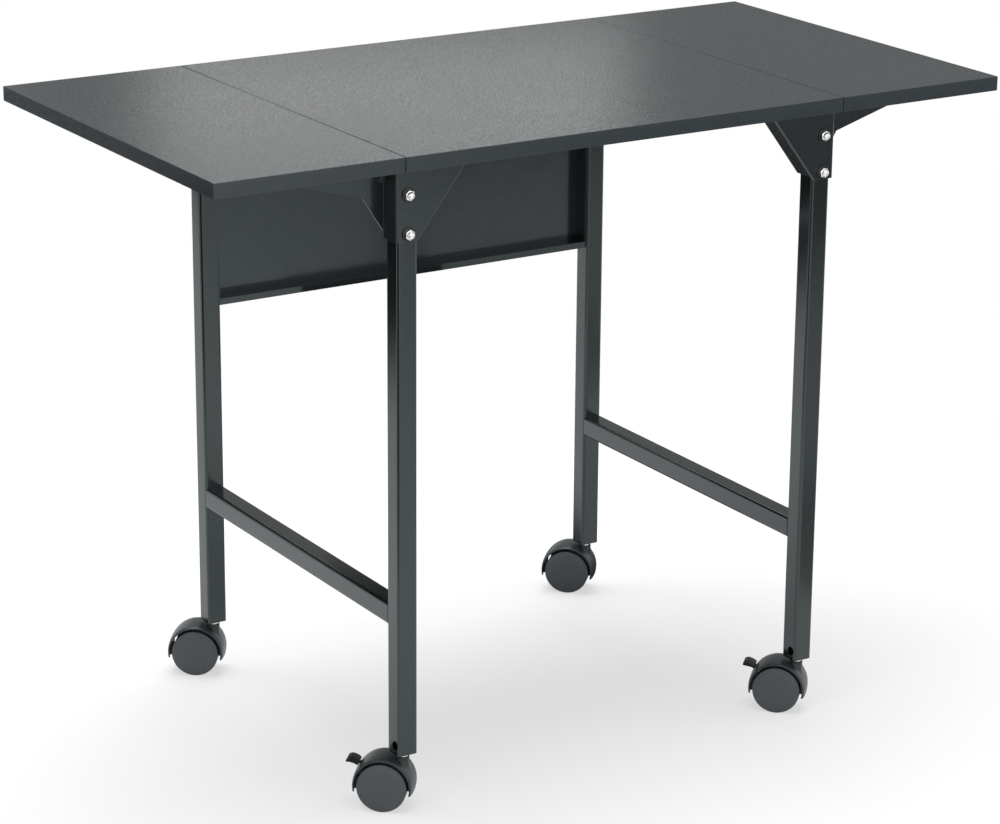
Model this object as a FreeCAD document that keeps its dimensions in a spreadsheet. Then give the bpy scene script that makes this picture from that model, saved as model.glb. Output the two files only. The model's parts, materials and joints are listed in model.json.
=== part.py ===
"""Typewriter table on casters, with a drop leaf at each end.

Millimetres. +Z is up, +X runs along the length of the top to the right, -Y is the front.
The origin is on the floor, in the middle of the table's footprint, rear casters included.
"""

import FreeCAD, Part

import math
import os

import Sketcher

SIZES = [
    # the three boards
    ("length", 914.4, "top with both leaves up"),
    ("depth", 470.0, "top, front to rear"),
    ("height", 677.0, "floor to top surface"),
    ("board", 15.0, "board thickness"),
    ("seam", 0.8, "gap between centre board and leaf"),
    ("band", 0.8, "edge band thickness"),
    # square tube frame
    ("frame_length", 511.0, "over the outer faces of the legs"),
    ("side_overhang", 0.3, "centre board past the legs' outer faces"),
    ("front_overhang", 17.5, "top past the front legs"),
    ("rear_overhang", 14.9, "top past the rear legs"),
    ("tube", 22.2, "side of the square tube"),
    ("tube_wall", 1.2, "wall of the square tube"),
    ("tube_round", 3.2, "outer corner radius of the tube"),
    ("leg_clearance", 60.0, "floor to the lower end of a leg"),
    ("bar_height", 195.0, "floor to the underside of a side bar"),
    # pressed brackets
    ("plate", 2.0, "bracket steel"),
    ("bend", 1.8, "outer bend radius of a bracket"),
    ("bracket_drop", 72.0, "height of a bracket"),
    ("gusset_reach", 77.0, "gusset at the top, from the leg's outer face"),
    ("gusset_foot", 22.4, "gusset at the bottom, from the leg's outer face"),
    ("gusset_lip", 22.0, "depth of the folded gusset edge behind the leg's face"),
    ("cheek_depth", 22.5, "depth of the side cheek behind the leg's face"),
    ("ear_length", 26.0, "screw ear of a rear bracket, past the cheek"),
    # leaf pivots and arms
    ("lug_radius", 5.5, "pivot lug"),
    ("lug_length", 8.9, "pivot lug along its axis"),
    ("lug_proud", 0.5, "lug's end past the cheek"),
    ("pivot_drop", 10.0, "underside of the top to the pivot axis"),
    ("pin", 3.2, "pivot pin radius"),
    ("pin_head", 4.9, "pivot pin head radius"),
    ("pin_head_height", 2.2, "pivot pin head height"),
    ("running_fit", 0.06, "radial clearance of a turning fit"),
    ("side_play", 0.3, "gap beside a turning piece"),
    ("arm_plate", 1.8, "leaf arm steel"),
    ("arm_reach", 119.0, "arm tip from the leg's outer face"),
    ("arm_nose", 3.0, "height of the arm at its tip"),
    ("arm_knee", 24.5, "knee of the lower edge from the leg's outer face"),
    ("arm_knee_drop", 30.5, "underside of the leaf to the knee"),
    ("arm_root_drop", 65.0, "underside of the leaf to the arm's lowest point"),
    ("arm_flange", 17.0, "width of the screwed flange"),
    ("arm_flange_start", 18.0, "flange begins this far from the leg's outer face"),
    ("arm_flange_end", 112.0, "flange ends this far from the leg's outer face"),
    # back panel
    ("sheet", 1.0, "panel steel"),
    ("panel_depth", 19.0, "depth of the folded panel edges"),
    ("panel_drop", 241.5, "underside of the top to the panel's lowest edge"),
    ("panel_lip", 7.0, "return lip under the bottom edge"),
    ("panel_screw_upper", 30.0, "underside of the top to the upper side screw"),
    ("panel_screw_lower", 110.0, "underside of the top to the lower side screw"),
    ("panel_screw", 1.8, "side screw radius"),
    ("panel_screw_length", 5.0, "side screw behind the panel's edge"),
    # fasteners
    ("bolt", 3.0, "leg bolt radius"),
    ("bolt_play", 0.2, "clearance of a bolt or screw hole"),
    ("bolt_upper", 26.0, "underside of the top to the upper bolt"),
    ("bolt_lower", 64.5, "underside of the top to the lower bolt"),
    ("bolt_grip", 9.0, "bolt length behind the leg's face"),
    ("hex", 6.0, "corner radius of a nut"),
    ("head_hex", 5.3, "corner radius of a leg bolt's head"),
    ("hex_height", 3.0, "height of a leg bolt's hexagon"),
    ("cap", 3.9, "radius of the domed cap on a leg bolt's head"),
    ("cap_height", 3.6, "height of that cap"),
    ("nut_height", 5.0, "height of a nut"),
    ("washer", 7.2, "washer radius"),
    ("washer_thick", 1.2, "washer thickness"),
    ("screw", 1.9, "wood screw radius"),
    ("screw_grip", 10.0, "wood screw in its board"),
    ("screw_spare", 1.0, "pilot hole past the screw's end"),
    ("screw_head", 3.8, "wood screw head radius"),
    ("screw_head_height", 2.2, "wood screw head height"),
    # casters
    ("wheel", 25.4, "wheel radius"),
    ("wheel_inner", 6.2, "inner face of a wheel from the caster's middle"),
    ("wheel_outer", 19.6, "outer face of a wheel from the caster's middle"),
    ("wheel_bevel", 0.8, "bevel of the tread's outer edge"),
    ("wheel_ring", 21.6, "radius of the groove in the wheel's face"),
    ("ring_depth", 0.5, "depth and half width of that groove"),
    ("axle", 2.5, "axle radius"),
    ("axle_half", 15.0, "half length of the axle"),
    ("trail", 18.6, "swivel axis to the axle"),
    ("hood_half", 17.6, "half width of the hood"),
    ("hood_rim", 29.8, "hood radius at its rims"),
    ("hood_crown", 1.4, "extra radius in the middle of the hood"),
    ("hood_flat", 8.0, "half width of the crown's top"),
    ("hood_wall", 1.6, "hood wall"),
    ("hood_edge", 0.6, "bevel of the hood's rims"),
    ("hood_tail", 5.8, "axle down to the hood's trailing edge"),
    ("hood_nose", 7.5, "axle down to the hood's leading edge"),
    ("core_half", 5.6, "half width of the hood's core between the wheels"),
    ("core_boss", 7.5, "core radius round the axle"),
    ("core_inner", 13.0, "axle to the gap in the core at its trailing side"),
    ("front_gap_angle", 14.0, "degrees of that gap over the axle, beside a brake"),
    ("rear_gap_angle", 38.0, "degrees of that gap over the axle, without a brake"),
    ("stem", 3.94, "stem radius in the leg socket"),
    ("stem_root", 3.5, "stem radius in the hood"),
    ("stem_foot", 27.0, "floor to the lower end of the stem"),
    ("stem_rise", 34.0, "stem above the lower end of the leg"),
    ("neck", 6.8, "radius of the hood's neck"),
    ("neck_top", 56.0, "floor to the top of the neck"),
    ("collar", 5.8, "radius of the stem collar"),
    ("snap_drop", 7.0, "top of the stem to the snap groove"),
    ("snap_height", 2.4, "height of the snap groove"),
    ("snap_depth", 0.6, "depth of the snap groove"),
    ("socket_depth", 36.0, "socket plug inside the leg"),
    ("front_left_angle", 139.0, "degrees from +X to the caster's trail"),
    ("front_right_angle", 135.5, "degrees from +X to the caster's trail"),
    ("rear_left_angle", 144.0, "degrees from +X to the caster's trail"),
    ("rear_right_angle", 137.0, "degrees from +X to the caster's trail"),
    # brake levers of the front casters
    ("brake_pin", 1.25, "brake lever pin radius"),
    ("brake_trail", 19.5, "axle to the brake pin, along the trail"),
    ("brake_rise", 15.5, "axle up to the brake pin"),
    ("lever_angle", 38.5, "degrees that the lever points up at rest"),
    ("tongue", 1.9, "half width of the lever's tongue"),
    ("tongue_height", 2.2, "half height of the tongue at the pin"),
    ("slot", 2.4, "half width of the slot in the hood"),
    ("slot_reach", 4.6, "brake pin to the corners of the slot's floor"),
    ("lever_boss", 2.6, "boss radius of the lever"),
    ("pedal_half", 9.5, "half width of the pedal"),
    ("pedal_root", 7.6, "brake pin to the pedal"),
    ("pedal_reach", 19.9, "brake pin to the pedal's tip"),
    ("pedal_thick", 2.6, "pedal thickness"),
    ("pedal_rise", 1.6, "crest of the pedal above the tongue's middle"),
    ("pedal_fall", 5.0, "tip of the pedal below the tongue's middle"),
    # place of the table in its frame
    ("origin_y", 8.4, "middle of the footprint behind the middle of the frame"),
]

# Places that several pieces share, as expressions on the sheet.
UNDER = "(Size.height - Size.board)"
LEG_TOP = "(Size.height - Size.board - Size.plate)"
LEG_X = "(Size.frame_length / 2)"
LEG_Y = "((Size.depth - Size.front_overhang - Size.rear_overhang) / 2)"
LEG_INNER_X = "(Size.frame_length / 2 - Size.tube)"
LEG_MIDDLE_X = "(Size.frame_length / 2 - Size.tube / 2)"
LEG_MIDDLE_Y = "((Size.depth - Size.front_overhang - Size.rear_overhang - Size.tube) / 2)"
CENTRE_END = "(Size.frame_length / 2 + Size.side_overhang)"
LEAF_START = "(Size.frame_length / 2 + Size.side_overhang + Size.seam)"
SCREW_HOLE = "(Size.screw + Size.bolt_play)"
BOLT_HOLE = "(Size.bolt + Size.bolt_play)"

# Places on a corner, from the leg's outer corner at the underside of the top.
PIVOT_X = "(-Size.plate - Size.lug_radius)"
PIVOT_Z = "(-Size.pivot_drop)"
LUG_END = "(Size.cheek_depth + Size.lug_proud)"
LUG_START = f"({LUG_END} - Size.lug_length)"
ARM_FRONT = f"({LUG_END} + Size.side_play)"
ARM_REAR = f"({ARM_FRONT} + Size.arm_plate)"
GUSSET_SLOPE = "((Size.gusset_reach - Size.gusset_foot) / Size.bracket_drop)"
GUSSET_INSET = f"(Size.plate * sqrt(1 + {GUSSET_SLOPE} ^ 2))"

# Shares of a length, for rows of screws.
GUSSET_SCREWS = (0.42, 0.80)
ARM_SCREWS = (0.12, 0.50, 0.88)
PANEL_SCREWS = (-0.38, -0.19, 0, 0.19, 0.38)
HEAD_TAPER = 0.7

# The arch of a brake pedal. Each pair is a share of the way from its root to its tip, and a height
# as a share of the crest's rise, of the tip's fall or of the pedal's thickness.
PEDAL_CREST = 0.2
PEDAL_TOP = ((0, 0.7), (PEDAL_CREST, 1), (0.48, 0.6), (0.72, -0.15), (0.95, -1.9))
PEDAL_TIP = ((1, -1), (0.88, -1.15), (0.66, -0.7))
PEDAL_BELOW = ((0.37, -0.6), (0, -0.2))

FRONT = ("front_left", "front_right")
REAR = ("rear_left", "rear_right")
CORNERS = FRONT + REAR

doc = FreeCAD.newDocument("typewriter_table")
sheet = doc.addObject("Spreadsheet::Sheet", "Size")
for row, (alias, value, note) in enumerate(SIZES, 1):
    sheet.set(f"A{row}", alias)
    sheet.set(f"B{row}", str(value))
    sheet.set(f"C{row}", note)
    sheet.setAlias(f"B{row}", alias)
doc.recompute()

parts = []


# ---------------------------------------------------------------- helpers


def size(alias):
    """A driving dimension as a number."""
    return float(sheet.get(alias))


def near(*pairs):
    """Whether the two numbers of each pair are the same."""
    return all(abs(a - b) < 1e-4 for a, b in pairs)


def bind(item, bindings):
    """Sets several properties of an object from expressions."""
    for name, expression in bindings.items():
        item.setExpression(name, expression)
    return item


def box(name, x, y, z):
    """A block between the low and high expression of each axis."""
    block = doc.addObject("Part::Box", name)
    for side, axis, (low, high) in (("Length", "x", x), ("Width", "y", y), ("Height", "z", z)):
        bind(block, {side: f"({high}) - ({low})", f"Placement.Base.{axis}": low})
    return block


def along(item, axis, base):
    """Lays an upright primitive along an axis, with its foot at base."""
    turns = {"x": ((0, 1, 0), 90), "y": ((-1, 0, 0), 90), "z": ((0, 0, 1), 0)}
    direction, angle = turns[axis]
    turn = FreeCAD.Rotation(FreeCAD.Vector(*direction), angle)
    item.Placement = FreeCAD.Placement(FreeCAD.Vector(), turn)
    return bind(item, {f"Placement.Base.{letter}": place for letter, place in zip("xyz", base)})


def rod(name, radius, length, axis, base):
    """A round bar along an axis."""
    bar = bind(doc.addObject("Part::Cylinder", name), {"Radius": radius, "Height": length})
    return along(bar, axis, base)


def cone(name, foot_radius, head_radius, length, axis, base):
    """A tapered round bar along an axis."""
    bar = doc.addObject("Part::Cone", name)
    bind(bar, {"Radius1": foot_radius, "Radius2": head_radius, "Height": length})
    return along(bar, axis, base)


def hexagon(name, corner, length, axis, base):
    """A hexagonal bar, measured to its corners."""
    bar = doc.addObject("Part::Prism", name)
    bar.Polygon = 6
    bind(bar, {"Circumradius": corner, "Height": length})
    return along(bar, axis, base)


def fuse(name, pieces):
    """Several pieces grown into one."""
    result = doc.addObject("Part::MultiFuse", name)
    result.Shapes = pieces
    return result


def cut(name, base, tools):
    """The base less every tool."""
    result = doc.addObject("Part::Cut", name)
    result.Base = base
    result.Tool = tools[0] if len(tools) == 1 else fuse(name + "_tools", tools)
    return result


def group(name, pieces):
    """Several separate solids kept together."""
    result = doc.addObject("Part::Compound", name)
    result.Links = pieces
    return result


def mirror(name, source, normal):
    """The mirror image of a piece in a plane through the origin."""
    result = doc.addObject("Part::Mirroring", name)
    result.Source = source
    result.Normal = normal
    return result


def finish(item, label, x="0", y="0", z="0", turn="0"):
    """Makes an object a sub-part: its label, its place and its turn about Z."""
    item.Label = label
    bind(item, {
        "Placement.Base.x": x,
        "Placement.Base.y": f"{y} - Size.origin_y",
        "Placement.Base.z": z,
        "Placement.Rotation.Angle": turn,
    })
    parts.append(item)
    return item


def new_body(name):
    """An empty PartDesign body."""
    return doc.addObject("PartDesign::Body", name)


def sketch_on(body, name, plane, offset="0"):
    """An empty sketch on an origin plane of its body, moved along the plane's normal."""
    sketch = body.newObject("Sketcher::SketchObject", name)
    support = next(item for item in body.Origin.OriginFeatures if item.Role == plane)
    sketch.AttachmentSupport = [(support, "")]
    sketch.MapMode = "FlatFace"
    sketch.setExpression("AttachmentOffset.Base.z", offset)
    return sketch


def constrain(sketch, kind, *arguments, expression):
    """A sketch dimension that starts at the last argument and then follows an expression."""
    index = sketch.addConstraint(Sketcher.Constraint(kind, *arguments))
    sketch.setExpression(f"Constraints[{index}]", expression)


def fix_point(sketch, element, end, x, y):
    """Holds a point of a sketch element at a place given by two expressions."""
    point = sketch.getPoint(element, end)
    constrain(sketch, "DistanceX", -1, 1, element, end, point.x, expression=x)
    constrain(sketch, "DistanceY", -1, 1, element, end, point.y, expression=y)


def outline(body, name, plane, points, offset="0"):
    """A closed outline with straight sides through the points."""
    sketch = sketch_on(body, name, plane, offset)
    count = len(points)
    step = 2 * math.pi / count
    ring = [FreeCAD.Vector(math.cos(step * k), math.sin(step * k), 0) for k in range(count)]
    for k in range(count):
        sketch.addGeometry(Part.LineSegment(ring[k], ring[(k + 1) % count]), False)
    for k in range(count):
        sketch.addConstraint(Sketcher.Constraint("Coincident", k, 2, (k + 1) % count, 1))
    for k, (x, y) in enumerate(points):
        fix_point(sketch, k, 1, x, y)
    return sketch


def rectangle(x, y):
    """The four corners between the low and high expression of each axis."""
    return [(x[0], y[0]), (x[1], y[0]), (x[1], y[1]), (x[0], y[1])]


def circles(body, name, plane, places, radius, offset="0"):
    """Equal circles at the places."""
    sketch = sketch_on(body, name, plane, offset)
    for k, (x, y) in enumerate(places):
        centre = FreeCAD.Vector(k, 0, 0)
        sketch.addGeometry(Part.Circle(centre, FreeCAD.Vector(0, 0, 1), 0.1), False)
        fix_point(sketch, k, 3, x, y)
        constrain(sketch, "Radius", k, 1.0, expression=radius)
    return sketch


def volume_of(body):
    """The volume of a body as it stands."""
    doc.recompute()
    return body.Shape.Volume


def pad(body, sketch, length, along_normal=True):
    """Material from a sketch, along its plane's normal or against it."""
    feature = body.newObject("PartDesign::Pad", sketch.Name + "_pad")
    feature.Profile = sketch
    feature.Reversed = not along_normal
    feature.setExpression("Length", length)
    return feature


def pocket(body, sketch, length, along_normal=True):
    """A hole from a sketch, along its plane's normal or against it."""
    before = volume_of(body)
    feature = body.newObject("PartDesign::Pocket", sketch.Name + "_pocket")
    feature.Profile = sketch
    feature.Reversed = along_normal
    feature.setExpression("Length", length)
    if not volume_of(body) < before:
        raise ValueError(f"{feature.Name} cuts nothing")
    return feature


def revolve(body, sketch):
    """Material turned about the sketch's vertical axis."""
    feature = body.newObject("PartDesign::Revolution", sketch.Name + "_turn")
    feature.Profile = sketch
    feature.ReferenceAxis = (sketch, ["V_Axis"])
    return feature


def groove(body, sketch, angle=None):
    """A turned cut about the sketch's vertical axis, all round or as far to each side as angle says."""
    before = volume_of(body)
    feature = body.newObject("PartDesign::Groove", sketch.Name + "_groove")
    feature.Profile = sketch
    feature.ReferenceAxis = (sketch, ["V_Axis"])
    if angle:
        feature.Midplane = True
        feature.setExpression("Angle", f"2 * {angle}")
    if not volume_of(body) < before:
        raise ValueError(f"{feature.Name} cuts nothing")
    return feature


def round_edges(body, wanted, radius):
    """Rounds the edges that wanted() picks."""
    doc.recompute()
    base = body.Tip
    edges = enumerate(base.Shape.Edges, 1)
    names = [f"Edge{k}" for k, edge in edges if wanted(edge)]
    if not names:
        raise ValueError(f"{body.Name} has no such edge")
    feature = body.newObject("PartDesign::Fillet", body.Name + "_round")
    feature.Base = (base, names)
    feature.setExpression("Radius", radius)
    return feature


def straight(edge, wanted):
    """Whether an edge is straight and wanted() is true of its two ends."""
    if len(edge.Vertexes) != 2 or not isinstance(edge.Curve, Part.Line):
        return False
    return wanted(edge.Vertexes[0].Point, edge.Vertexes[1].Point)


# ---------------------------------------------------------------- top


def gusset_screw_x(share):
    """A screw's place along the gusset, from the leg's outer face."""
    return f"({share} * Size.gusset_reach)"


def arm_screw_x(share):
    """A screw's place along the flange of an arm, from the leg's outer face."""
    return f"(Size.arm_flange_start + {share} * (Size.arm_flange_end - Size.arm_flange_start))"


def panel_screw_x(share):
    """A screw's place along the panel."""
    return f"({share} * Size.frame_length)"


ARM_SCREW_Y = f"({ARM_FRONT} + (Size.arm_plate + Size.arm_flange) / 2)"
EAR_SCREW_Y = "(Size.cheek_depth + Size.ear_length / 2)"
PANEL_SCREW_Y = f"({LEG_Y} - Size.panel_depth / 2)"


def centre_screws():
    """Where screws enter the centre board, and the steel under each."""
    places = []
    for side in ("-", ""):
        for share in GUSSET_SCREWS:
            x = f"{side}({LEG_X} - {gusset_screw_x(share)})"
            places.append((x, f"Size.gusset_lip / 2 - {LEG_Y}", "Size.plate"))
        places.append((f"{side}{LEG_MIDDLE_X}", f"{LEG_Y} - {EAR_SCREW_Y}", "Size.plate"))
    for share in PANEL_SCREWS:
        places.append((panel_screw_x(share), PANEL_SCREW_Y, "Size.sheet"))
    return places


def leaf_screws(side):
    """Where screws enter a leaf, and the steel under each."""
    places = []
    for end in ("-", ""):
        for share in ARM_SCREWS:
            x = f"{side}({LEG_X} + {arm_screw_x(share)})"
            places.append((x, f"{end}({LEG_Y} - {ARM_SCREW_Y})", "Size.arm_plate"))
    return places


def board(label, x, screws):
    """A laminated board with pilot holes, and the band round its four edges."""
    y = (f"(-{LEG_Y} - Size.front_overhang)", f"({LEG_Y} + Size.rear_overhang)")
    z = (UNDER, "Size.height")
    core_x = (f"{x[0]} + Size.band", f"{x[1]} - Size.band")
    core_y = (f"{y[0]} + Size.band", f"{y[1]} - Size.band")
    core = box(label + "_block", core_x, core_y, z)
    pilots = [
        rod(f"{label}_pilot_{k}", "Size.screw", "Size.screw_grip + Size.screw_spare", "z", (sx, sy, UNDER))
        for k, (sx, sy, steel) in enumerate(screws)
    ]
    finish(cut(label + "_drilled", core, pilots), label)
    outer = box(label + "_band_block", x, y, z)
    inner = box(label + "_band_hole", core_x, core_y, z)
    finish(cut(label + "_band", outer, [inner]), label + "_edge_band")


def wood_screws(label, places):
    """Pan head wood screws, each under its steel and up into the board."""
    screws = []
    for k, (x, y, steel) in enumerate(places):
        seat = f"{UNDER} - {steel}"
        foot = f"{seat} - Size.screw_head_height"
        shank = rod(f"{label}_shank_{k}", "Size.screw", f"Size.screw_grip + {steel}", "z", (x, y, seat))
        small = f"{HEAD_TAPER} * Size.screw_head"
        head = cone(
            f"{label}_head_{k}", small, "Size.screw_head", "Size.screw_head_height", "z", (x, y, foot)
        )
        screws.append(fuse(f"{label}_{k}", [shank, head]))
    finish(group(label + "_group", screws), label)


def make_top():
    """The fixed board and the two leaves."""
    board("centre_top", (f"-{CENTRE_END}", CENTRE_END), centre_screws())
    wood_screws("top_screws", centre_screws())
    board("left_leaf", ("-Size.length / 2", f"-{LEAF_START}"), leaf_screws("-"))
    board("right_leaf", (LEAF_START, "Size.length / 2"), leaf_screws(""))
    wood_screws("left_arm_screws", leaf_screws("-"))
    wood_screws("right_arm_screws", leaf_screws(""))


# ---------------------------------------------------------------- frame


def make_leg(label):
    """A leg of square tube, drilled for the bolts of its bracket and the screws of the panel."""
    body = new_body(label + "_tube")
    section = rectangle(("0", "Size.tube"), ("0", "Size.tube"))
    pad(body, outline(body, label + "_outer", "XY_Plane", section), f"{LEG_TOP} - Size.leg_clearance")
    upright = lambda a, b: near((a.x, b.x), (a.y, b.y))
    round_edges(body, lambda edge: straight(edge, upright), "Size.tube_round")
    hollow = ("Size.tube_wall", "Size.tube - Size.tube_wall")
    inner = outline(body, label + "_inner", "XY_Plane", rectangle(hollow, hollow))
    pocket(body, inner, f"{LEG_TOP} - Size.leg_clearance")
    levels = [f"{UNDER} - Size.bolt_{level} - Size.leg_clearance" for level in ("upper", "lower")]
    places = [("Size.tube / 2", level) for level in levels]
    holes = circles(body, label + "_holes", "XZ_Plane", places, BOLT_HOLE)
    pocket(body, holes, "2 * Size.tube_wall", False)
    left = "left" in label
    if "front" in label:
        return finish(body, label, f"-{LEG_X}" if left else LEG_INNER_X, f"-{LEG_Y}", "Size.leg_clearance")
    levels = [f"{UNDER} - Size.panel_screw_{level} - Size.leg_clearance" for level in ("upper", "lower")]
    places = [("Size.panel_depth / 2", level) for level in levels]
    if left:
        screws = circles(body, label + "_screw_holes", "YZ_Plane", places, "Size.panel_screw")
    else:
        offset = "Size.tube - 2 * Size.tube_wall"
        screws = circles(body, label + "_screw_holes", "YZ_Plane", places, "Size.panel_screw", offset)
    pocket(body, screws, "2 * Size.tube_wall")
    return finish(body, label, f"-{LEG_INNER_X}" if left else LEG_X, LEG_Y, "Size.leg_clearance", "180")


def make_bar(label):
    """A side bar welded between the front and the rear leg, flush with their outer faces."""
    outer_x = (f"-{LEG_X}", f"-{LEG_INNER_X}") if "left" in label else (LEG_INNER_X, LEG_X)
    body = new_body(label + "_tube")
    z = ("Size.bar_height", "Size.bar_height + Size.tube")
    start = f"({LEG_Y} - Size.tube)"
    outer = outline(body, label + "_outer", "XZ_Plane", rectangle(outer_x, z), start)
    pad(body, outer, f"2 * {start}", False)
    lengthwise = lambda a, b: near((a.x, b.x), (a.z, b.z))
    round_edges(body, lambda edge: straight(edge, lengthwise), "Size.tube_round")
    inner_x = (f"{outer_x[0]} + Size.tube_wall", f"{outer_x[1]} - Size.tube_wall")
    inner_z = (f"{z[0]} + Size.tube_wall", f"{z[1]} - Size.tube_wall")
    inner = outline(body, label + "_inner", "XZ_Plane", rectangle(inner_x, inner_z), start)
    pocket(body, inner, f"2 * {start}", False)
    finish(body, label)


def make_panel():
    """The back panel: a tray of sheet steel folded forward all round, with a lip below."""
    body = new_body("panel_sheet")
    x = (f"-{LEG_INNER_X}", LEG_INNER_X)
    low = f"{UNDER} - Size.panel_drop + Size.panel_lip - Size.sheet"
    front = f"Size.panel_depth - {LEG_Y}"
    block = outline(body, "panel_block", "XZ_Plane", rectangle(x, (low, UNDER)), f"-{LEG_Y}")
    pad(body, block, "Size.panel_depth")
    inner_x = (f"{x[0]} + Size.sheet", f"{x[1]} - Size.sheet")
    inner_z = (f"{low} + Size.sheet", f"{UNDER} - Size.sheet")
    hollow = outline(body, "panel_hollow", "XZ_Plane", rectangle(inner_x, inner_z), front)
    pocket(body, hollow, "Size.panel_depth - Size.sheet", False)
    lip_z = (f"{UNDER} - Size.panel_drop", f"{low} + Size.sheet")
    pad(body, outline(body, "panel_lip_face", "XZ_Plane", rectangle(x, lip_z), front), "Size.sheet", False)
    places = [(panel_screw_x(share), PANEL_SCREW_Y) for share in PANEL_SCREWS]
    above = f"{UNDER} - 2 * Size.sheet"
    pocket(body, circles(body, "panel_top_holes", "XY_Plane", places, SCREW_HOLE, above), "3 * Size.sheet")
    levels = [f"{UNDER} - Size.panel_screw_{level}" for level in ("upper", "lower")]
    places = [(PANEL_SCREW_Y, level) for level in levels]
    hole = "Size.panel_screw + Size.bolt_play"
    sides = circles(body, "panel_side_holes", "YZ_Plane", places, hole, f"-{LEG_X}")
    pocket(body, sides, "Size.frame_length")
    finish(body, "back_panel")


def make_panel_screws():
    """Self-tapping screws from the panel's folded sides into the rear legs."""
    screws = []
    for level in ("upper", "lower"):
        z = f"{UNDER} - Size.panel_screw_{level}"
        name = f"panel_screw_{level}"
        seat = f"{LEG_INNER_X} - Size.sheet"
        shank = rod(name + "_shank", "Size.panel_screw", "Size.panel_screw_length + Size.sheet", "x", (
            seat, PANEL_SCREW_Y, z))
        small = f"{HEAD_TAPER} * Size.screw_head"
        foot = f"{seat} - Size.screw_head_height"
        head = cone(name + "_head", small, "Size.screw_head", "Size.screw_head_height", "x", (
            foot, PANEL_SCREW_Y, z))
        right = fuse(name, [shank, head])
        screws += [right, mirror(name + "_left", right, (1, 0, 0))]
    finish(group("panel_screws_group", screws), "panel_screws")


def make_sockets():
    """Plugs in the lower ends of the legs, bored for the caster stems, with a rib that snaps in."""
    plugs = []
    half = "(Size.tube / 2 - Size.tube_wall)"
    bore = "Size.stem + Size.running_fit"
    rib = "Size.stem + Size.running_fit - Size.snap_depth"
    rib_height = "(Size.snap_height - 2 * Size.side_play)"
    rib_foot = "(Size.leg_clearance + Size.stem_rise - Size.snap_drop - Size.snap_height + Size.side_play)"
    top = "(Size.leg_clearance + Size.socket_depth)"
    for corner in CORNERS:
        x = ("-" if "left" in corner else "") + LEG_MIDDLE_X
        y = ("-" if "front" in corner else "") + LEG_MIDDLE_Y
        name = corner + "_socket"
        plug = box(
            name + "_plug", (f"{x} - {half}", f"{x} + {half}"), (f"{y} - {half}", f"{y} + {half}"),
            ("Size.leg_clearance", top),
        )
        rib_top = f"{rib_foot} + {rib_height}"
        foot = (x, y, "Size.leg_clearance")
        tools = [
            rod(name + "_lower", bore, f"{rib_foot} - Size.leg_clearance", "z", foot),
            rod(name + "_rib", rib, f"{top} - Size.leg_clearance", "z", foot),
            rod(name + "_upper", bore, f"{top} - ({rib_top})", "z", (x, y, rib_top)),
        ]
        plugs.append(cut(name, plug, tools))
    finish(group("sockets", plugs), "caster_sockets")


def make_frame():
    """Legs, side bars, back panel and caster sockets."""
    for corner in CORNERS:
        make_leg(corner + "_leg")
    make_bar("left_side_bar")
    make_bar("right_side_bar")
    make_panel()
    make_panel_screws()
    make_sockets()


# ---------------------------------------------------------------- brackets and arms
# Each is modelled from the outer corner of its leg, at the underside of the top:
# +X runs inwards along the front, +Y runs back and +Z up. At rear legs it is mirrored.


def add_cheek(body, name):
    """The cheek on the leg's outer face, with the lug of the leaf pivot on it."""
    side = rectangle(("-Size.plate", "0"), ("-Size.bracket_drop", "0"))
    cheek = outline(body, name + "_cheek", "XZ_Plane", side, "Size.plate")
    pad(body, cheek, "Size.plate + Size.cheek_depth", False)
    corner = -size("plate")
    bend = lambda a, b: near((a.x, corner), (b.x, corner), (a.y, corner), (b.y, corner))
    round_edges(body, lambda edge: straight(edge, bend), "Size.bend")
    height = (f"{PIVOT_Z} - Size.lug_radius", f"{PIVOT_Z} + Size.lug_radius")
    lug = rectangle((PIVOT_X, "-Size.plate / 2"), height)
    pad(body, outline(body, name + "_lug", "XZ_Plane", lug, f"-{LUG_START}"), "Size.lug_length", False)
    eye = circles(body, name + "_eye", "XZ_Plane", [(PIVOT_X, PIVOT_Z)], "Size.lug_radius", f"-{LUG_START}")
    pad(body, eye, "Size.lug_length", False)
    fit = "Size.pin + Size.running_fit"
    bore = circles(body, name + "_bore", "XZ_Plane", [(PIVOT_X, PIVOT_Z)], fit, f"-{LUG_START}")
    pocket(body, bore, "Size.lug_length", False)


def add_bolt_holes(body, name):
    """The two bolt holes of a bracket's plate."""
    places = [("Size.tube / 2", f"-Size.bolt_{level}") for level in ("upper", "lower")]
    holes = circles(body, name + "_bolts", "XZ_Plane", places, BOLT_HOLE, "Size.plate")
    pocket(body, holes, "Size.plate", False)


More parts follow.
